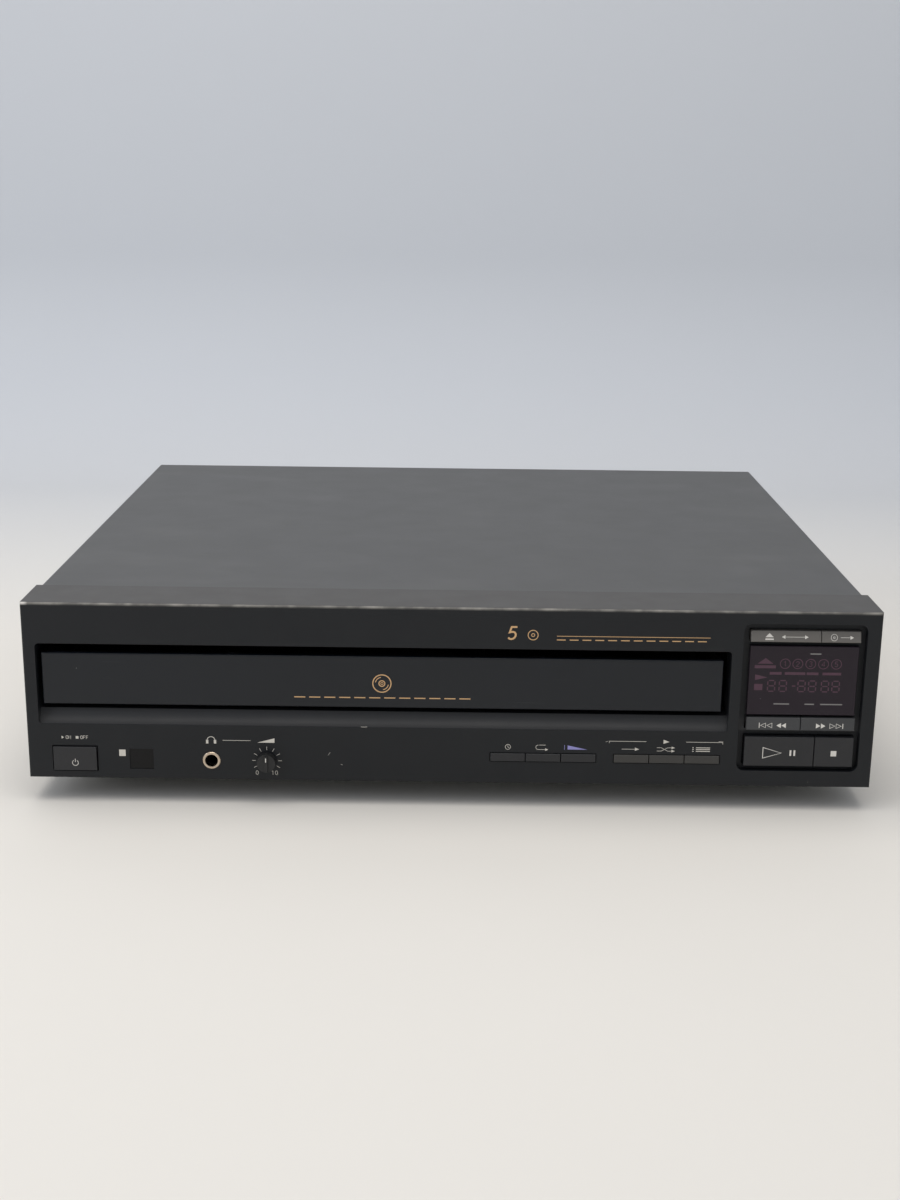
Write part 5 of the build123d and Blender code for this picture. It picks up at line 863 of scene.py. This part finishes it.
# ---- Wear on the front ----
# Small chips and scuffs in the moulded panel, where its texture has been knocked through and
# the paler plastic under it shows.
SCUFF = ink("bare_scuffed_abs", ("#98958f", "#a8a59f"), 0.5)
scuffs = [
    stroke([(-45.2, 29.6), (-43.6, 29.5), (-42.0, 29.65)], 0.35),
    stroke([(-62.0, 14.0), (-60.9, 15.6)], 0.2),
    stroke([(-55.5, 9.2), (-54.6, 8.9)], 0.25),
    stroke([(136.6, 24.2), (138.9, 23.9)], 0.3),
    stroke([(79.2, 23.2), (80.4, 23.5)], 0.25),
]
lay("front_scuffs", scuffs, SCUFF, "chassis", panel_face)


# ---- Floor and backdrop ----
# A plain pale paper sweep: a level floor that curves up behind the object into a backdrop.
# It is matt and warm, with painted shade that turns it greyer and cooler towards the back and up the
# backdrop.
FLOOR_FRONT, FLOOR_REAR, SWEEP_RADIUS = -2.4, 0.62, 0.22
SWEEP_TOP, SWEEP_HALF = 2.8, 3.2
FLOOR_STEPS, CURVE_STEPS, ACROSS_STEPS = 12, 25, 9


def sweep():
    """The floor's profile in Y and Z, a line, a quarter circle and a line, carried along X."""
    turn = np.linspace(-pi / 2, 0, CURVE_STEPS)
    level = np.linspace(FLOOR_FRONT, FLOOR_REAR, FLOOR_STEPS)
    profile_y = np.concatenate([level, FLOOR_REAR + SWEEP_RADIUS * np.cos(turn[1:])])
    profile_z = np.concatenate([0 * level, SWEEP_RADIUS * (1 + np.sin(turn[1:]))])
    profile_y = np.append(profile_y, FLOOR_REAR + SWEEP_RADIUS)
    profile_z = np.append(profile_z, SWEEP_TOP)
    across = np.linspace(-SWEEP_HALF, SWEEP_HALF, ACROSS_STEPS)
    grid = np.zeros((len(profile_y), len(across), 3))
    grid[..., 0] = across
    grid[..., 1] = profile_y[:, None]
    grid[..., 2] = profile_z[:, None]
    row = np.arange(len(profile_y) - 1)[:, None] * len(across) + np.arange(len(across) - 1)
    quads = np.stack([row, row + 1, row + 1 + len(across), row + len(across)], -1).reshape(-1, 4)
    return grid.reshape(-1, 3), quads


sweep_points, sweep_quads = sweep()
sweep_mesh = bpy.data.meshes.new("paper_sweep")
sweep_mesh.from_pydata(sweep_points.tolist(), [], sweep_quads.tolist())
sweep_mesh.polygons.foreach_set("use_smooth", [True] * len(sweep_mesh.polygons))
paper, tree, shader, place, tone = surface(
    "pale_paper_sweep", ("#e2dfd9", "#e5e2dc"),
    cloud=400, roughness=(0.75, 0.85), grain=2.0, relief=0.01,
)
rise = add_node(tree, "SeparateXYZ", {"Vector": place})
shaded_upright = add_node(
    tree, "MapRange", {"Value": rise.outputs["Y"], "From Min": 0.1, "From Max": 0.8}
).outputs["Result"]
# painted shade: greyer and cooler from the back of the floor up the standing backdrop
overlay(tree, shader, tone, shaded_upright, "#c8ccd2")
# seen from behind or below the paper is left out, so that it never hides the object
path = add_node(tree, "LightPath").outputs["Is Camera Ray"]
behind = add_node(tree, "NewGeometry").outputs["Backfacing"]
left_out = add_node(tree, "Math", {0: path, 1: behind}, operation="MULTIPLY").outputs["Value"]
clear = add_node(tree, "BsdfTransparent").outputs["BSDF"]
shown = add_node(tree, "MixShader", {0: left_out, 1: shader.outputs["BSDF"], 2: clear})
tree.links.new(shown.outputs["Shader"], tree.nodes["Material Output"].inputs["Surface"])
sweep_mesh.materials.append(paper)
floor = bpy.data.objects.new("paper_sweep", sweep_mesh)
bpy.context.scene.collection.objects.link(floor)


# ---- Light ----
# A wide soft box above and in front, a weaker one at the left, and an even sky, so that a
# colour renders about as it is written.
def soft_box(name, where, aim, size, power, hex_code):
    """A square area lamp at a place, turned to face its aim."""
    lamp = bpy.data.lights.new(name, "AREA")
    lamp.shape = "RECTANGLE"
    lamp.size, lamp.size_y = size
    lamp.energy = power
    lamp.color = colour(hex_code)[:3]
    box = bpy.data.objects.new(name, lamp)
    box.location = where
    box.rotation_euler = (Vector(aim) - Vector(where)).to_track_quat("-Z", "Y").to_euler()
    bpy.context.scene.collection.objects.link(box)


MIDDLE = (0, 0, 0.05)
SKY_STRENGTH = 0.55
soft_box("overhead_soft_box", (-0.2, -0.3, 1.7), MIDDLE, size=(1.8, 1.4), power=20, hex_code="#fffaf4")
soft_box("left_soft_box", (-1.6, -1.0, 0.9), MIDDLE, size=(1.0, 1.0), power=8, hex_code="#f2f6ff")
world = bpy.data.worlds.new("even_sky")
world.use_nodes = True
sky = world.node_tree.nodes["Background"].inputs
sky["Color"].default_value = colour("#eef1f6")
sky["Strength"].default_value = SKY_STRENGTH
bpy.context.scene.world = world
bpy.context.scene.view_settings.view_transform = "Standard"


# ---- Camera ----
# The photograph's view: in front, a little above the top, and looking down at the panel. The
# angles are in radians and were fitted to the corners of the panel and the cover.
EYE = (2.45 * MM, -955.555 * MM, 320.54 * MM)
YAW, PITCH, ROLL = -0.0041, 0.2683, 0.0113
LENS, SENSOR_HEIGHT = 48.04, 36
forward = Vector((sin(YAW) * cos(PITCH), cos(YAW) * cos(PITCH), -sin(PITCH)))
level_right = Vector((cos(YAW), -sin(YAW), 0))
level_up = level_right.cross(forward)
right = cos(ROLL) * level_right + sin(ROLL) * level_up
up = cos(ROLL) * level_up - sin(ROLL) * level_right
camera_data = bpy.data.cameras.new("camera")
camera_data.sensor_fit = "VERTICAL"
camera_data.sensor_height = SENSOR_HEIGHT
camera_data.lens = LENS
camera = bpy.data.objects.new("camera", camera_data)
camera.matrix_world = Matrix.Translation(EYE) @ Matrix((right, up, -forward)).transposed().to_4x4()
bpy.context.scene.collection.objects.link(camera)
bpy.context.scene.camera = camera
